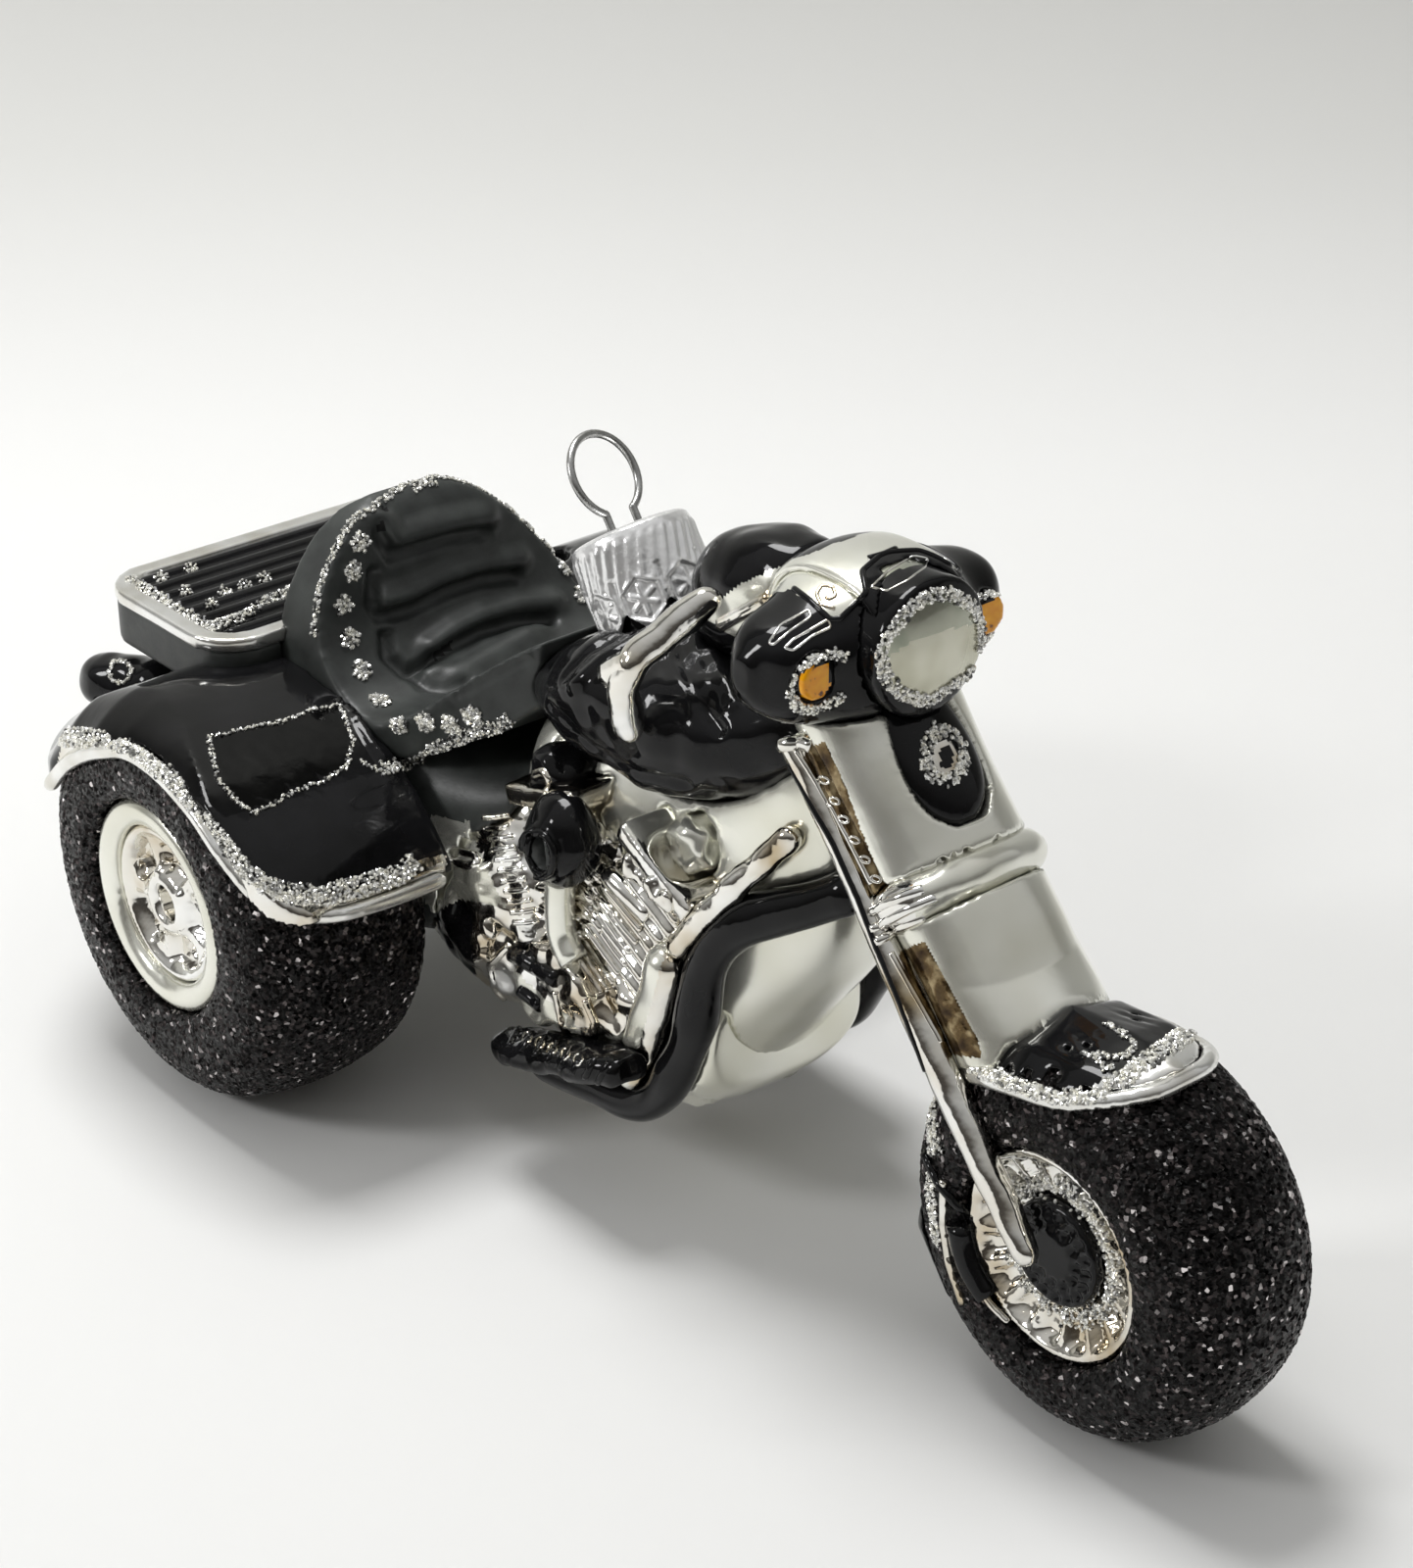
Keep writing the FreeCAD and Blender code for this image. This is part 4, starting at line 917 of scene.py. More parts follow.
studs = [(367, 553), (360, 583), (350, 617), (357, 652), (369, 684), (388, 715), (407, 739), (435, 737),
         (460, 739), (482, 730)]
piping = [(445, 493), (415, 493), (385, 515), (360, 530), (345, 555), (333, 580), (325, 605), (320, 650)]
seat_hem = [(392, 784), (414, 780), (438, 768), (460, 758), (482, 748), (500, 744), (516, 738), (522, 732)]
glitter("seat_studs", [], ["seat_skin"], dots=[(stud, 1.15, 0.60, 32) for stud in studs], out_mm=3.0)
glitter("seat_piping", [(piping, 0.9, 0.42, 4, False), (seat_hem, 1.7, 0.44, 8, False)],
        ["seat_skin", "tank_skin", "tub_skin", "fender_skin_right"], out_mm=1.0)

# %% [markdown]
# The rear fender carries three kinds of line: a broad glitter band that follows its edge, a
# polished silver hem below it, and a fine row of beads round a panel. The hem is only a paint
# line, so its faces get the silver finish.

# %% Rear fenders
CREASE_REACH_MM, CREASE_RISE_MM = 1.0, 0.45
FENDER_ON = ["fender_skin_right", "fender_bead_right", "trunk_skin", "seat_skin", "tub_skin"]
fender_band = [(65, 752), (100, 754), (136, 764), (170, 791), (206, 830), (230, 860), (252, 890), (272, 906),
               (297, 912), (326, 914), (367, 905), (412, 890), (425, 878)]
panel = [(213, 753), (247, 745), (293, 735), (320, 723), (347, 720), (360, 753), (357, 770), (353, 783),
         (327, 798), (300, 807), (277, 822), (258, 830), (237, 813), (223, 797), (217, 773)]
panel_tail = [(370, 777), (393, 790), (400, 783), (420, 773), (480, 753)]
hem = fender_band + [(455, 872), (455, 960), (400, 960), (333, 950), (280, 950), (200, 900), (150, 830),
                     (110, 800), (50, 815)]
# The recessed panel is painted darker and less shiny: painted shade for the darker reflection of a recess.
fill_both("fender_skin_right", panel_shade_black, panel)
fill_both("fender_skin_right", silver, hem)
glitter("fender_glitter", [(fender_band, 2.2, 0.50, 13, False)], FENDER_ON)
glitter("fender_beads", [(panel, 0.5, 0.40, 2, True), (panel_tail, 0.5, 0.40, 2, False)], FENDER_ON)
crease = [(325, 665), (330, 686), (342, 702), (354, 714), (366, 734), (378, 756), (392, 774)]
crease_at = in_mm(traced(crease, skins(["fender_skin_right", "seat_skin", "tub_skin"])))
emboss("fender_skin_right", crease_at, CREASE_REACH_MM, CREASE_RISE_MM)
emboss("fender_skin_left", crease_at * (1, -1, 1), CREASE_REACH_MM, CREASE_RISE_MM)
print("crease", len(crease_at), "points")

# %% [markdown]
# The rack is a rounded silver rim with ribs across, a strip of glitter inside the rim and a drop
# of glitter at each rib's end. The tail lamp is a black stone in a ring of beads.

# %% Rack and tail lamp
RACK_ON = ["rack_rim", "rack_ribs", "trunk_skin", "fender_skin_right", "tail_lamp_right"]
rack_band = [(133, 590), (150, 602), (172, 618), (195, 631), (213, 640), (240, 631), (270, 616), (300, 600)]
rack_drops = [(165, 590), (195, 580), (190, 603), (215, 615), (230, 605), (250, 598), (270, 590)]
lamp_ring = [(123, 674), (131, 677), (135, 685), (131, 694), (123, 697), (115, 693), (112, 685), (115, 677)]
glitter("rack_glitter", [(rack_band, 1.5, 0.44, 7, False)], RACK_ON, both=False,
        dots=[(drop, 0.9, 0.46, 16) for drop in rack_drops])
glitter("tail_beads", [(lamp_ring, 0.5, 0.42, 4, True)],
        ["tail_lamp_right", "trunk_skin", "fender_skin_right"])

# %% [markdown]
# The wheels are moulded in relief. The rear wheel's disc has five windows between wide spokes, a
# black hub and a row of nuts. All of that is pressed into the flat skin from a height that depends
# on the place on the disc, which is the quickest way to model relief on one blown surface.

# %% Rear wheels
rim_low, rim_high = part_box("rear_rim_right")
REAR_Z = (rim_high.z + rim_low.z) / 2 / MM
WINDOWS = 5
HUB_CAP = 0.16
WINDOW_MM, WELL_MM, COLLAR_MM, RIM_LINE_MM, NUT_MM = 1.1, 1.3, 0.45, 0.35, 0.5


def ramped(values, start, end):
    """0 below start, 1 above end, smooth between."""
    share = np.clip((values - start) / (end - start), 0, 1)
    return share * share * (3 - 2 * share)


def line_at(values, middle, width):
    """1 at the middle of a line, fading to 0 at both sides."""
    return np.exp(-((values - middle) / width) ** 2)


def round_axle(rows, x, z):
    """How far out from an axle, and how far round it, each of some points is."""
    return np.hypot(rows[:, 0] - x, rows[:, 2] - z), np.arctan2(rows[:, 2] - z, rows[:, 0] - x)


def lobes(angle, count, offset=0.0):
    """1 at equal steps round a circle, falling to 0 halfway between them."""
    return np.abs(((angle / math.tau * count + offset) % 1) - 0.5) * 2


for side, out in (("right", -1), ("left", 1)):
    hub = made["hub_relief_" + side]
    rows = points_of(hub)
    away, angle = round_axle(rows, 0, REAR_Z)
    disc_r = away.max()
    facing = ramped(normals_of(hub)[:, 1] * out, 0.3, 0.7)
    window = ramped(lobes(angle, WINDOWS), 0.30, 0.52) * ramped(away, 0.40 * disc_r, 0.50 * disc_r)
    window *= 1 - ramped(away, 0.76 * disc_r, 0.86 * disc_r)
    well = 1 - ramped(away, 0.14 * disc_r, 0.24 * disc_r)
    collar = line_at(away, 0.30 * disc_r, 0.07 * disc_r)
    rim_line = line_at(away, 0.93 * disc_r, 0.05 * disc_r)
    nuts = ramped(lobes(angle, WINDOWS, 0.5), 0.74, 0.9) * line_at(away, 0.42 * disc_r, 0.05 * disc_r)
    rise = -WINDOW_MM * window - WELL_MM * well + COLLAR_MM * collar + RIM_LINE_MM * rim_line + NUT_MM * nuts
    rows[:, 1] += out * facing * rise
    set_points(hub, rows)
    middles = (rows_of(hub.data.polygons, "center") - ORIGIN) / MM
    give(hub, enamel, round_axle(middles, 0, REAR_Z)[0] < HUB_CAP * disc_r)
print("rear disc radius", round(float(disc_r), 1), "mm")

# %% [markdown]
# Tyres are rough: the glitter stands about a fifth of a millimetre off the glass. Each skin point
# moves out or in by chance, and the cell pattern in the finish does the flakes themselves.

# %% Rough tyres
TYRE_ROUGH_MM, TYRE_SINK_MM = 0.11, 0.09
for name in ("tyre_skin_right", "tyre_skin_left", "front_tyre_skin"):
    tyre = made[name]
    rows = points_of(tyre)
    grain = np.array([chance.uniform(-1, 1) for row in rows], np.float32)
    set_points(tyre, rows + normals_of(tyre) * (grain * TYRE_ROUGH_MM - TYRE_SINK_MM)[:, None])
    tyre.data.polygons.foreach_set("use_smooth", [False] * len(tyre.data.polygons))
print("tyres rough")

# %% [markdown]
# The tank's glass is creased like stretched toffee: long shallow folds beside the handlebar and
# along its lower edge.

# %% Creases of the tank
FOLD_REACH_MM = 1.2
folds = [
    ([(575, 690), (600, 664), (650, 636), (700, 606)], -0.45),
    ([(585, 700), (615, 672), (668, 640), (712, 615)], 0.45),
    ([(690, 640), (700, 680), (715, 720), (735, 745)], -0.45),
    ([(722, 650), (737, 690), (748, 720)], 0.40),
    ([(560, 720), (600, 760), (650, 790), (700, 800)], -0.40),
    ([(556, 745), (590, 785), (650, 806)], 0.35),
]
tank_trees = skins(["tank_skin"])
for pixels, rise_mm in folds:
    places = traced(pixels, tank_trees)
    if places:
        fold = in_mm(places)
        emboss("tank_skin", fold, FOLD_REACH_MM, rise_mm)
        emboss("tank_skin", fold * (1, -1, 1), FOLD_REACH_MM, rise_mm)
print("tank creased")
# %% [markdown]
# The head is one black lump with a pearl visor painted over its top. The lens is ringed with beads
# and so are the stones beside it. Three long slots are moulded in the black, drawn by their rims.

# %% Head
HEAD_ON = ["nacelle_skin", "visor_skin", "dash_lump", "side_stone_right", "lens_skin", "side_stone_left"]
visor_area = [(806, 602), (825, 580), (840, 566), (857, 556), (875, 546), (897, 541), (917, 538), (950, 545),
              (964, 554), (940, 555), (917, 558), (897, 567), (881, 580), (885, 605), (855, 633), (846, 631),
              (825, 612)]
fill("visor_skin", enamel, oval(900, 600, 400, 400))
for name in ("visor_skin", "nacelle_skin", "dash_lump"):
    fill_both(name, pearl, visor_area)
fill("lens_skin", enamel, oval(947, 665, 90, 90))
fill_both("side_stone_right", enamel, oval(830, 697, 60, 60))
slots = [
    [(785, 655), (797, 637), (825, 622), (828, 629), (807, 643), (788, 659)],
    [(801, 661), (810, 652), (845, 632), (848, 640), (830, 648), (809, 664)],
    [(889, 599), (907, 582), (932, 567), (947, 570), (945, 578), (925, 593), (905, 603)],
]
tubes("head_slots", slots, 0.14, silver, HEAD_ON, both=False, closed=True, sink=0.1)
lens_ring = [(967, 605), (990, 616), (1000, 635), (1000, 675), (985, 690), (947, 716), (920, 708), (903, 690),
             (899, 672), (903, 655), (925, 623), (945, 608)]
stone_ring = [(862, 670), (850, 666), (835, 671), (820, 679), (809, 692), (806, 708), (813, 722), (830, 725),
              (847, 717), (862, 707)]
fill("lens_skin", lens_pearl, lens_ring)
# The lens's lower half gets the lighter pearl: painted reflection.
fill("lens_skin", lens_cream_reflection, [(900, 690), (903, 672), (930, 655), (968, 643), (1004, 634), (1004, 680),
                               (985, 692), (947, 718), (918, 710)])
stone = [(816, 690), (824, 682), (846, 677), (847, 700), (838, 714), (826, 717), (817, 710)]
fill_both("side_stone_right", amber, stone)
glitter("lens_beads", [(lens_ring, 1.3, 0.48, 8, True)], HEAD_ON, both=False)
glitter("stone_beads", [(stone_ring, 1.0, 0.44, 6, False)], ["nacelle_skin", "side_stone_right"])
swirl = [(852, 621), (838, 617), (833, 606), (839, 597), (850, 599), (853, 608), (846, 612), (841, 608)]
visor_rims = [[(810, 600), (826, 612), (847, 632), (858, 631), (884, 605), (880, 582), (897, 567),
               (917, 558)]]
tubes("visor_swirl", [swirl], 0.22, silver, HEAD_ON, sink=0.2)
tubes("visor_rim", visor_rims, 0.32, enamel, HEAD_ON, sink=0.2)
tubes("head_bar", [[(735, 638), (760, 624), (785, 610), (806, 601)]], 0.8, silver, HEAD_ON, sink=0.3)

# %% [markdown]
# Under the lens hangs a black drop with a small glittered eye. A round bead sits on its top.

# %% Drop under the lens
DROP_ON = ["horn_skin", "fork_skin", "nacelle_skin"]
glitter("drop_beads", [(oval(964, 771, 20, 25, 0, 20), 1.3, 0.46, 8, True)], DROP_ON, both=False,
        dots=[((956, 746), 0.9, 0.5, 16)])
fill("horn_skin", silver, oval(964, 773, 13, 18))
fill("horn_skin", enamel, oval(966, 773, 7, 13))

# %% [markdown]
# The handlebar is silvered glass with a knuckle before its grip. Lumps on a tube are tubes of
# another thickness over the same line.

# %% Handlebar knuckles
tubes("bar_knuckles", [[(619, 690), (628, 684), (640, 679), (650, 676)]], 1.5, silver, ["bar_tube_right"],
      level=(650, 690))

# %% [markdown]
# The fork cover is pearl glass with an amber channel at each side. Little rings are moulded in
# the channel, and the clamp across is swept by mirror silver only at its end.

# %% Fork
FORK_ON = ["channel_right", "fork_skin", "fork_tube_right", "fork_band"]
rings = [(841, 796), (852, 817), (861, 836), (872, 857), (883, 877), (894, 897)]
tubes("channel_rings", [oval(u, v, 6, 3.4, 20) for u, v in rings], 0.16, silver, FORK_ON, closed=True)
fill("fork_band", pearl, [(925, 860), (1090, 840), (1090, 930), (940, 970)])
fork_amber = [[(812, 768), (842, 757), (862, 800), (880, 850), (906, 912), (886, 920), (850, 842)],
              [(908, 975), (944, 960), (965, 1000), (998, 1060), (1002, 1080), (962, 1075)]]
for border in fork_amber:
    fill_both("fork_skin", amber_glass, border)
relief = [
    [(890, 930), (905, 921), (925, 912), (945, 906)],
    [(888, 948), (900, 944), (915, 935), (935, 925), (960, 915)],
    [(893, 962), (905, 955), (925, 945), (948, 935)],
]
tubes("clamp_relief", relief, 0.55, silver, FORK_ON + ["frame_tube_right"], both=False, sink=0.4)
collar = [[(786, 750), (796, 744), (812, 742), (828, 748)], [(787, 764), (800, 760), (815, 757), (830, 762)]]
tubes("fork_collar", collar, 0.8, silver, FORK_ON + ["nacelle_skin"], sink=0.4)
edges = [[(812, 765), (835, 800), (862, 850), (890, 905)],
         [(909, 972), (925, 1000), (945, 1035), (962, 1065)]]
tubes("channel_edges", edges, 0.35, silver, FORK_ON, sink=0.4)
# A thin black tube beside the leg's left edge is painted shadow: a dark line where there is only shade beside
# the leg.
leg_shade = [(804, 780), (826, 820), (850, 862), (874, 915), (894, 968), (916, 1020), (932, 1062),
             (944, 1095)]
tubes("leg_shadow_lines", [leg_shade], 0.34, enamel, ["fork_tube_right"], sink=0.5)

# %% [markdown]
# The front fender is black. Curls of glitter, a glitter band and a wide silver lip go round its
# front edge. Behind the fork it has two glitter strips and a silver edge, and a brake cable hangs
# from it.

# %% Front fender
GUARD_ON = ["front_fender_skin", "front_fender_bead"]
guard_band = [(997, 1090), (1018, 1099), (1040, 1107), (1080, 1120), (1120, 1118), (1147, 1100), (1173, 1080),
              (1200, 1062), (1213, 1053)]
curls = [
    [(1130, 1045), (1147, 1055), (1158, 1068), (1150, 1077), (1137, 1080), (1121, 1075)],
    [(1107, 1075), (1120, 1080), (1127, 1092), (1140, 1087)],
]
guard_lines = [(guard_band, 1.9, 0.48, 11, False)] + [(curl, 0.6, 0.42, 4, False) for curl in curls]
glitter("guard_glitter", guard_lines, GUARD_ON, both=False)
lip_area = [(1002, 1100), (1040, 1113), (1080, 1127), (1122, 1126), (1150, 1108), (1176, 1087), (1204, 1068),
            (1216, 1056), (1240, 1075), (1240, 1110), (1180, 1145), (1100, 1150), (1030, 1135)]
fill_both("front_fender_skin", lip_silver, lip_area)

REAR_GUARD_ON = ["front_fender_skin", "front_tyre_skin"]
guard_tail = [[(950, 1104), (952, 1140), (955, 1180)], [(950, 1198), (951, 1232), (957, 1272)]]
glitter("guard_tail_glitter", [(guard_tail[0], 2.8, 0.46, 13, False), (guard_tail[1], 1.6, 0.46, 9, False)],
        REAR_GUARD_ON)
tubes("guard_tail_edge", [[(962, 1205), (962, 1250), (968, 1290), (982, 1330)]], 0.45, silver, REAR_GUARD_ON,
      sink=0.2)
tubes("brake_cable", [[(944, 1178), (958, 1208), (975, 1228), (1000, 1248)]], 0.5, enamel,
      REAR_GUARD_ON + ["front_rim_relief"], sink=0.0)
print("front fender done")

# %% [markdown]
# The front wheel's rim is silvered relief, with oval slots between its spokes. A drilled black
# disc stands in front of it, inside a ring of glitter, and the caliper is a black lump on the leg.

# %% Front wheel
tyre_low, tyre_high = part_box("front_tyre")
FRONT_X = ((tyre_low.x + tyre_high.x) / 2 - REAR_AXLE_X) / MM
FRONT_Z = (tyre_low.z + tyre_high.z) / 2 / MM
SLOTS_ROUND, SLOT_MM, RIM_EDGE_MM = 16, 0.9, 0.4

rim = made["front_rim_relief"]
rows = points_of(rim)
away, angle = round_axle(rows, FRONT_X, FRONT_Z)
rim_r = away.max()
sides = normals_of(rim)[:, 1]
facing = ramped(np.abs(sides), 0.3, 0.7) * np.sign(sides)
holes = ramped(lobes(angle, SLOTS_ROUND), 0.25, 0.6) * ramped(away, 0.60 * rim_r, 0.68 * rim_r)
holes *= 1 - ramped(away, 0.84 * rim_r, 0.90 * rim_r)
rows[:, 1] += facing * (-SLOT_MM * holes + RIM_EDGE_MM * line_at(away, 0.95 * rim_r, 0.04 * rim_r))
set_points(rim, rows)
print("front rim radius", round(float(rim_r), 1), "axle", round(FRONT_X, 1), round(FRONT_Z, 1))

disc_low, disc_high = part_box("brake_disc_right")
DISC_R = (disc_high.z - disc_low.z) / 2 / MM
DISC_Y = -disc_low.y / MM
HOLE_MM = 0.5
RING_R, RING_POINTS = DISC_R + 1.1, 110
for side, out in (("right", -1), ("left", 1)):
    disc = made["disc_relief_" + side]
    rows = points_of(disc)
    away, angle = round_axle(rows, FRONT_X, FRONT_Z)
    facing = ramped(normals_of(disc)[:, 1] * out, 0.3, 0.7)
    drilled = np.zeros(len(rows))
    for ring, holes in ((0.80, 18), (0.58, 12)):
        nearest = np.round(angle / math.tau * holes + ring * 5) - ring * 5
        gap = np.hypot(away - ring * DISC_R, (angle - nearest * math.tau / holes) * ring * DISC_R)
        drilled += 1 - ramped(gap, 0.35, 0.75)
    rows[:, 1] -= out * facing * HOLE_MM * drilled
    set_points(disc, rows)
bm = bmesh.new()
wheel_trees = skins(["front_rim_relief", "disc_relief_right"])
turns = [math.tau * i / RING_POINTS for i in range(RING_POINTS)]
circle = [at(FRONT_X + RING_R * math.cos(a), -DISC_Y, FRONT_Z + RING_R * math.sin(a)) for a in turns]
ring = band(set_down(circle, wheel_trees), wheel_trees, 2.0, 0.48, 10, True)
drop_grains(bm, ring, 0.44)
left_trees = skins(["front_rim_relief", "disc_relief_left"])
drop_grains(bm, set_down([point * MIDDLE for point, normal in ring], left_trees), 0.44)
made["disc_glitter"] = new_piece("disc_glitter", bm, silver_glitter)
print("disc radius", round(DISC_R, 1), "at", round(DISC_Y, 1), "mm from the middle")

WHEEL_ON = ["front_rim_relief", "front_tyre_skin"]
tubes("caliper", [[(982, 1250), (986, 1275), (998, 1303), (1015, 1325)]], 1.5, enamel,
      WHEEL_ON + ["disc_relief_right"], sink=0.2)
tubes("caliper_edge", [[(988, 1288), (998, 1312), (1012, 1332), (1030, 1350)]], 0.4, silver, WHEEL_ON,
      sink=0.0)
# %% [markdown]
# The engine is one crowded relief of mirror silver: fin columns, rocker lumps, a pearl pushrod
# tube, a black air horn and black slots. The solids give the big lumps. Fins and slots are tubes
# laid over them, and the dark parts are painted. All of it shows on the left side too, except the
# horn.

# %% Fins, pushrod tube and slots
ROCKER_SQUASH, ROCKER_MOVE = (1, 0.80, 1), (-1.0, 0, -0.4)
rocker = made["front_rocker"]
set_points(rocker, points_of(rocker) * ROCKER_SQUASH + ROCKER_MOVE)
ENGINE_ON = ["front_cylinder", "rear_cylinder", "crankcase_relief", "gearbox_relief", "front_rocker",
             "rear_rocker", "belly_skin", "tub_skin", "side_band_right", "crash_tube_right"]


def rungs(first, last, count, half):
    """Parallel short lines from one middle to another; half is the offset to each end."""
    middles = zip(np.linspace(first[0], last[0], count), np.linspace(first[1], last[1], count))
    return [[(u - half[0], v - half[1]), (u, v + 1), (u + half[0], v + half[1])] for u, v in middles]


rear_fins = rungs((507, 833), (538, 940), 11, (14, -1.5))
front_fins = [
    [(604, 888), (625, 914), (645, 938), (657, 952)], [(597, 894), (617, 920), (638, 948), (651, 963)],
    [(592, 905), (612, 930), (632, 958), (646, 975)], [(590, 920), (608, 942), (626, 968), (640, 986)],
    [(589, 935), (604, 955), (622, 980), (635, 997)], [(589, 950), (602, 968), (617, 990), (629, 1006)],
    [(590, 965), (600, 980), (612, 998), (622, 1012)], [(592, 980), (600, 992), (608, 1004), (615, 1014)],
]
tubes("rear_fins", rear_fins, 0.36, silver, ENGINE_ON, sink=0.1)
tubes("front_fins", front_fins, 0.42, silver, ENGINE_ON, sink=0.1)
tubes("head_block", [[(612, 884), (628, 899), (646, 918), (664, 937)]], 1.2, silver, ENGINE_ON, sink=0.3)
tubes("pushrod_tube", [[(568, 896), (567, 930), (569, 955), (577, 975), (590, 993)]], 1.6, pearl, ENGINE_ON,
      level=(600, 1012))
tubes("case_slots", [[(522, 972), (548, 987), (574, 1003)]], 1.0, enamel, ENGINE_ON, sink=0.1)
tubes("case_slot_low", [[(530, 1010), (541, 1018), (553, 1028)]], 0.8, enamel, ENGINE_ON, sink=0.2)
tubes("slot_rims", [[(519, 965), (500, 985), (505, 1010), (530, 1035), (560, 1050), (592, 1068)],
                    [(566, 1012), (572, 1040), (580, 1062)], [(598, 1020), (608, 1045), (606, 1068)]], 0.5,
      silver, ENGINE_ON)
tubes("tub_swirl", [[(445, 858), (455, 875), (475, 884), (488, 880), (484, 872), (468, 868)],
                    [(545, 790), (555, 787), (561, 797), (557, 812), (547, 825)]], 0.55, silver, ENGINE_ON)
lumps = [(605, 851, 1.4), (618, 861, 1.3), (632, 873, 1.5), (645, 883, 1.3), (656, 894, 1.2), (668, 905, 1.4),
         (679, 918, 1.2), (500, 946, 1.2), (492, 958, 1.3), (495, 972, 1.0)]
engine_trees = skins(ENGINE_ON)
bm = bmesh.new()
for u, v, radius_mm in lumps:
    on_glass = aimed(u, v, engine_trees)[0]
    for place_at in (on_glass, on_glass * MIDDLE):
        ball = bmesh.ops.create_icosphere(bm, subdivisions=3, radius=radius_mm * MM)["verts"]
        bmesh.ops.scale(bm, vec=(1.0, 0.7, 1.1), verts=ball)
        bmesh.ops.translate(bm, vec=place_at, verts=ball)
made["case_lumps"] = soften(new_piece("case_lumps", bm, silver), silver, 0.25, 3)
uneven(made["case_lumps"], 1.5, 0.5)
print("case lumps", len(made["case_lumps"].data.polygons), "faces")
fill("rear_cylinder", enamel, [(478, 812), (506, 812), (503, 850), (516, 900), (526, 930), (512, 930),
                               (495, 890), (484, 850)])
for name in ("gearbox_relief", "crankcase_relief"):
    fill(name, enamel, [(445, 925), (470, 918), (484, 930), (480, 960), (487, 1000), (500, 1035), (470, 1030),
                        (450, 990)])
fill_both("front_rocker", pearl, [(636, 780), (760, 780), (760, 930), (700, 920), (668, 890), (645, 862)])
fill_both("front_cylinder", pearl, [(622, 800), (710, 800), (705, 862), (660, 862), (640, 850)])
fill("rear_rocker", enamel, [(490, 760), (640, 760), (640, 812), (590, 816), (490, 812)])
fill_both("crankcase_relief", pearl, [(735, 960), (900, 960), (900, 1130), (735, 1130)])
fill_both("crankcase_relief", pearl, [(490, 985), (512, 972), (535, 1000), (556, 1018), (585, 1040),
                                      (600, 1066), (565, 1058), (520, 1040), (500, 1012)])
fill_both("side_band_right", silver, [(684, 955), (730, 955), (700, 1110), (640, 1110)])
for name in ("gearbox_relief", "tub_skin", "crankcase_relief"):
    fill(name, pearl, [(425, 830), (478, 838), (490, 870), (505, 905), (515, 925), (470, 918), (440, 932),
                       (425, 900)])
print("engine relief done")

# %% [markdown]
# The air horn is a black glass blob with a round mouth that faces back and outwards. Here it is a
# stretched ball in its solid's place, with the same kind of skin as the other forms. Then the
# mouth is pressed in and its rim is raised.

# %% Air horn
HORN_HALF_MM = (4.5, 3.5, 5.1)
MOUTH_REACH_MM, MOUTH_RISE_MM, BOWL_REACH_MM, BOWL_DEPTH_MM = 1.1, 0.9, 1.9, 2.2
horn_low, horn_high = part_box("air_horn")
toward_horn = sight(575, 856)
blob_at = CAMERA_AT + toward_horn * (((horn_low + horn_high).y / 2 - CAMERA_AT.y) / toward_horn.y)
bm = bmesh.new()
ball = bmesh.ops.create_icosphere(bm, subdivisions=4, radius=1.0)["verts"]
bmesh.ops.scale(bm, vec=Vector(HORN_HALF_MM) * MM, verts=ball)
bmesh.ops.translate(bm, vec=blob_at, verts=ball)
horn = soften(new_piece("horn_pipe", bm, enamel), enamel, 0.25, 2)
made["horn_pipe"] = horn
uneven(horn, 3.0, 0.35)
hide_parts("air_horn")
mouth = in_mm(traced(oval(550, 871, 13, 22, -12), skins(["horn_pipe"]), 0.2, True))
emboss("horn_pipe", mouth, MOUTH_REACH_MM, MOUTH_RISE_MM)
opening = in_mm(traced([(548, 858), (551, 870), (554, 882)], skins(["horn_pipe"]), 0.2))
emboss("horn_pipe", opening, BOWL_REACH_MM, -BOWL_DEPTH_MM)
# The bowl inside the mouth is matte charcoal: painted reflection, a grey that stands in for what the bowl
# reflects.
fill("horn_pipe", charcoal, oval(551, 871, 10, 18, -12))
tubes("horn_rim", [oval(552, 871, 13, 22, -12)], 0.45, enamel, ["horn_pipe"], both=False, closed=True,
      sink=0.0)
print("air horn", len(horn.data.polygons), "faces")

# %% [markdown]
# The footboard is ribbed across, with a small ring at the end of each rib.

# %% Footboard
FOOT_ON = ["foot_plate_right", "crash_tube_right"]
FOOT_DROP_MM = 1.5
for plate in (made["foot_plate_right"], made["foot_plate_left"]):
    rows = points_of(plate)
    top, bottom = rows[:, 2].max(), rows[:, 2].min()
    rows[:, 2] -= FOOT_DROP_MM * (top - rows[:, 2]) / (top - bottom)
    set_points(plate, rows)
ribs = [[(u + 13 * i, v + 5.2 * i) for u, v in ((530, 1048), (524, 1058), (518, 1070))] for i in range(8)]
tubes("foot_ribs", ribs, 0.42, enamel, FOOT_ON, sink=0.3)
eyes = [oval(538 + 13 * i, 1059 + 5.6 * i, 4.5, 6, 20) for i in range(5)]
tubes("foot_rings", eyes, 0.17, silver, FOOT_ON, closed=True, sink=0.0)

# %% [markdown]
# The cap is stamped from thin metal: eight pointed tabs, each with a six-armed star in a hexagon,
# and slanted flutes above. The relief is worked out round the cap's own leaning axis: how far down
# a point is, and how far round from the middle of its tab.

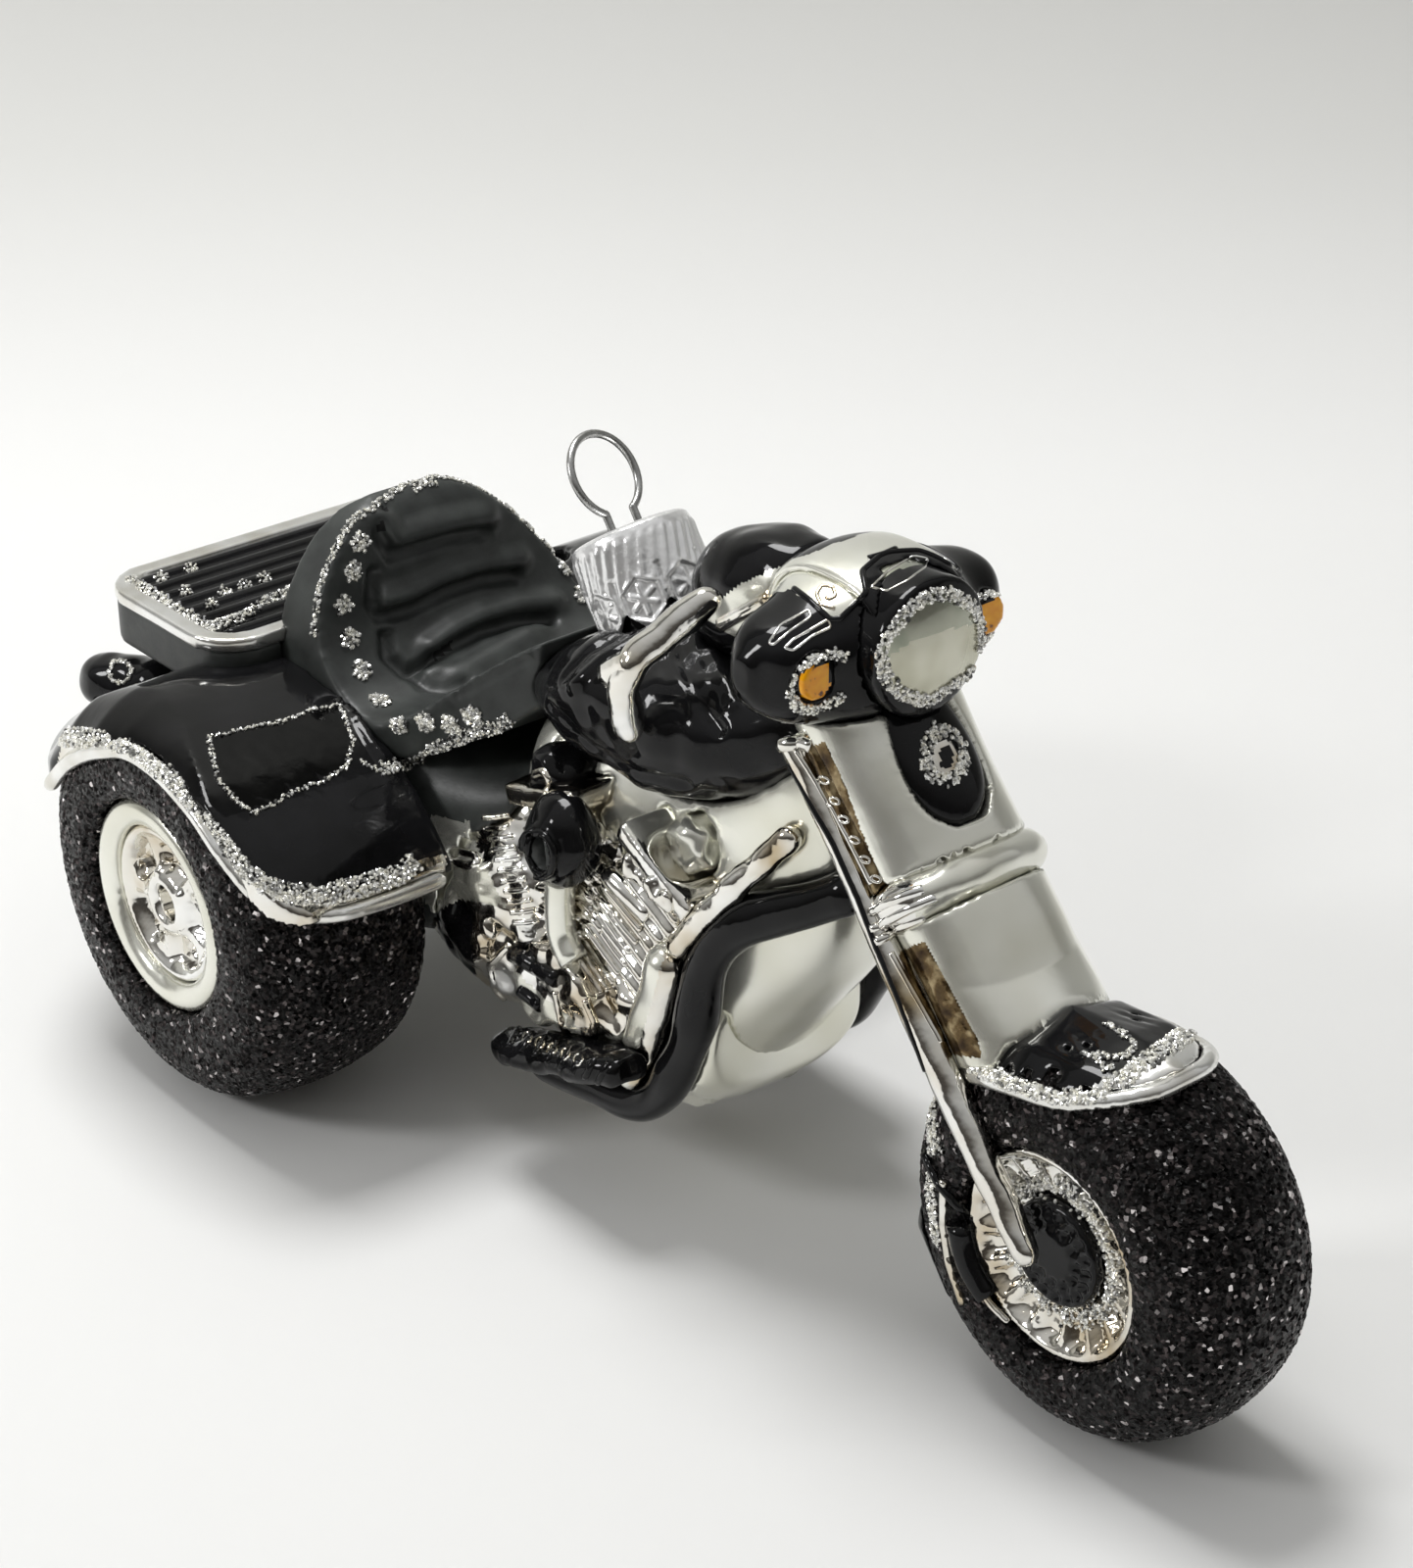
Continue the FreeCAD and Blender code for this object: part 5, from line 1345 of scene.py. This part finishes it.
# %% Stamped cap
CAP_LEAN = math.radians(35.4)
CAP_AXIS = np.array([-math.sin(CAP_LEAN), 0, math.cos(CAP_LEAN)])
CAP_TOP = np.array([33.4, 0, 67.6])
CAP_R, TABS, TAB_HALF = 6.5, 8, 2.42
STAR_DOWN, HEXAGON_R = 7.6, 2.15
FLUTE_STEP, FLUTE_SLANT = 1.27, 0.32
FRAME_MM, STAR_MM, DISH_MM, FLUTE_MM, EDGE_MM, SINK_MM = 0.22, 0.20, 0.14, 0.22, 0.22, 0.08
cap = soft_form("cap_skin", "cap", cap_metal, 0.19, 2, "cap")
made["cap_skin"] = cap
rows = points_of(cap)
below = -(rows - CAP_TOP) @ CAP_AXIS
side_x = np.cross((0, 1, 0), CAP_AXIS)
flat_x, flat_y = (rows - CAP_TOP) @ side_x, rows[:, 1]
radius = np.hypot(flat_x, flat_y)
turned = np.arctan2(flat_y, flat_x) / math.tau * TABS
u = (((turned + 0.5) % 1) - 0.5) * math.tau * CAP_R / TABS
v = below - STAR_DOWN
outside = ramped(radius, CAP_R - 0.28, CAP_R - 0.1)
reach = np.hypot(u, v)
arm = np.full(len(rows), 9.0)
for arm_deg in (30, 90, 150):
    a = math.radians(arm_deg)
    arm = np.minimum(arm, np.abs(u * math.sin(a) - v * math.cos(a)))
star = (1 - ramped(arm, 0.12, 0.38)) * (1 - ramped(reach, 1.5, 1.8))
hexagon = np.maximum(np.abs(u), np.abs(u) * 0.5 + np.abs(v) * 0.87)
frame_line = line_at(hexagon, HEXAGON_R, 0.20)
flutes = 0.5 + 0.5 * np.cos(math.tau * (u + FLUTE_SLANT * below) / FLUTE_STEP)
flutes *= ramped(hexagon, 2.2, 2.5) * (v < 0) * ramped(below, 1.0, 1.8)
edge = line_at(np.abs(u), TAB_HALF, 0.14) * (v > -3.0)
rise = FRAME_MM * frame_line + STAR_MM * star + FLUTE_MM * flutes
rise -= DISH_MM * (hexagon < 1.95) + EDGE_MM * edge
outward = flat_x[:, None] * side_x + np.outer(flat_y, (0, 1, 0))
outward /= np.maximum(np.linalg.norm(outward, axis=1), 1e-6)[:, None]
set_points(cap, rows + outward * (outside * (rise - SINK_MM))[:, None])
print("cap skin", len(cap.data.polygons), "faces")
# %% [markdown]
# The model's box is measured again, and how far it grew past the solids' box is printed.

# %% Sizes
new_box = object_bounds()
growth = [round((b - a) / MM, 2) for a, b in zip([*CAD_BOX[0], *CAD_BOX[1]], [*new_box[0], *new_box[1]])]
print("box grew by", growth, "mm")
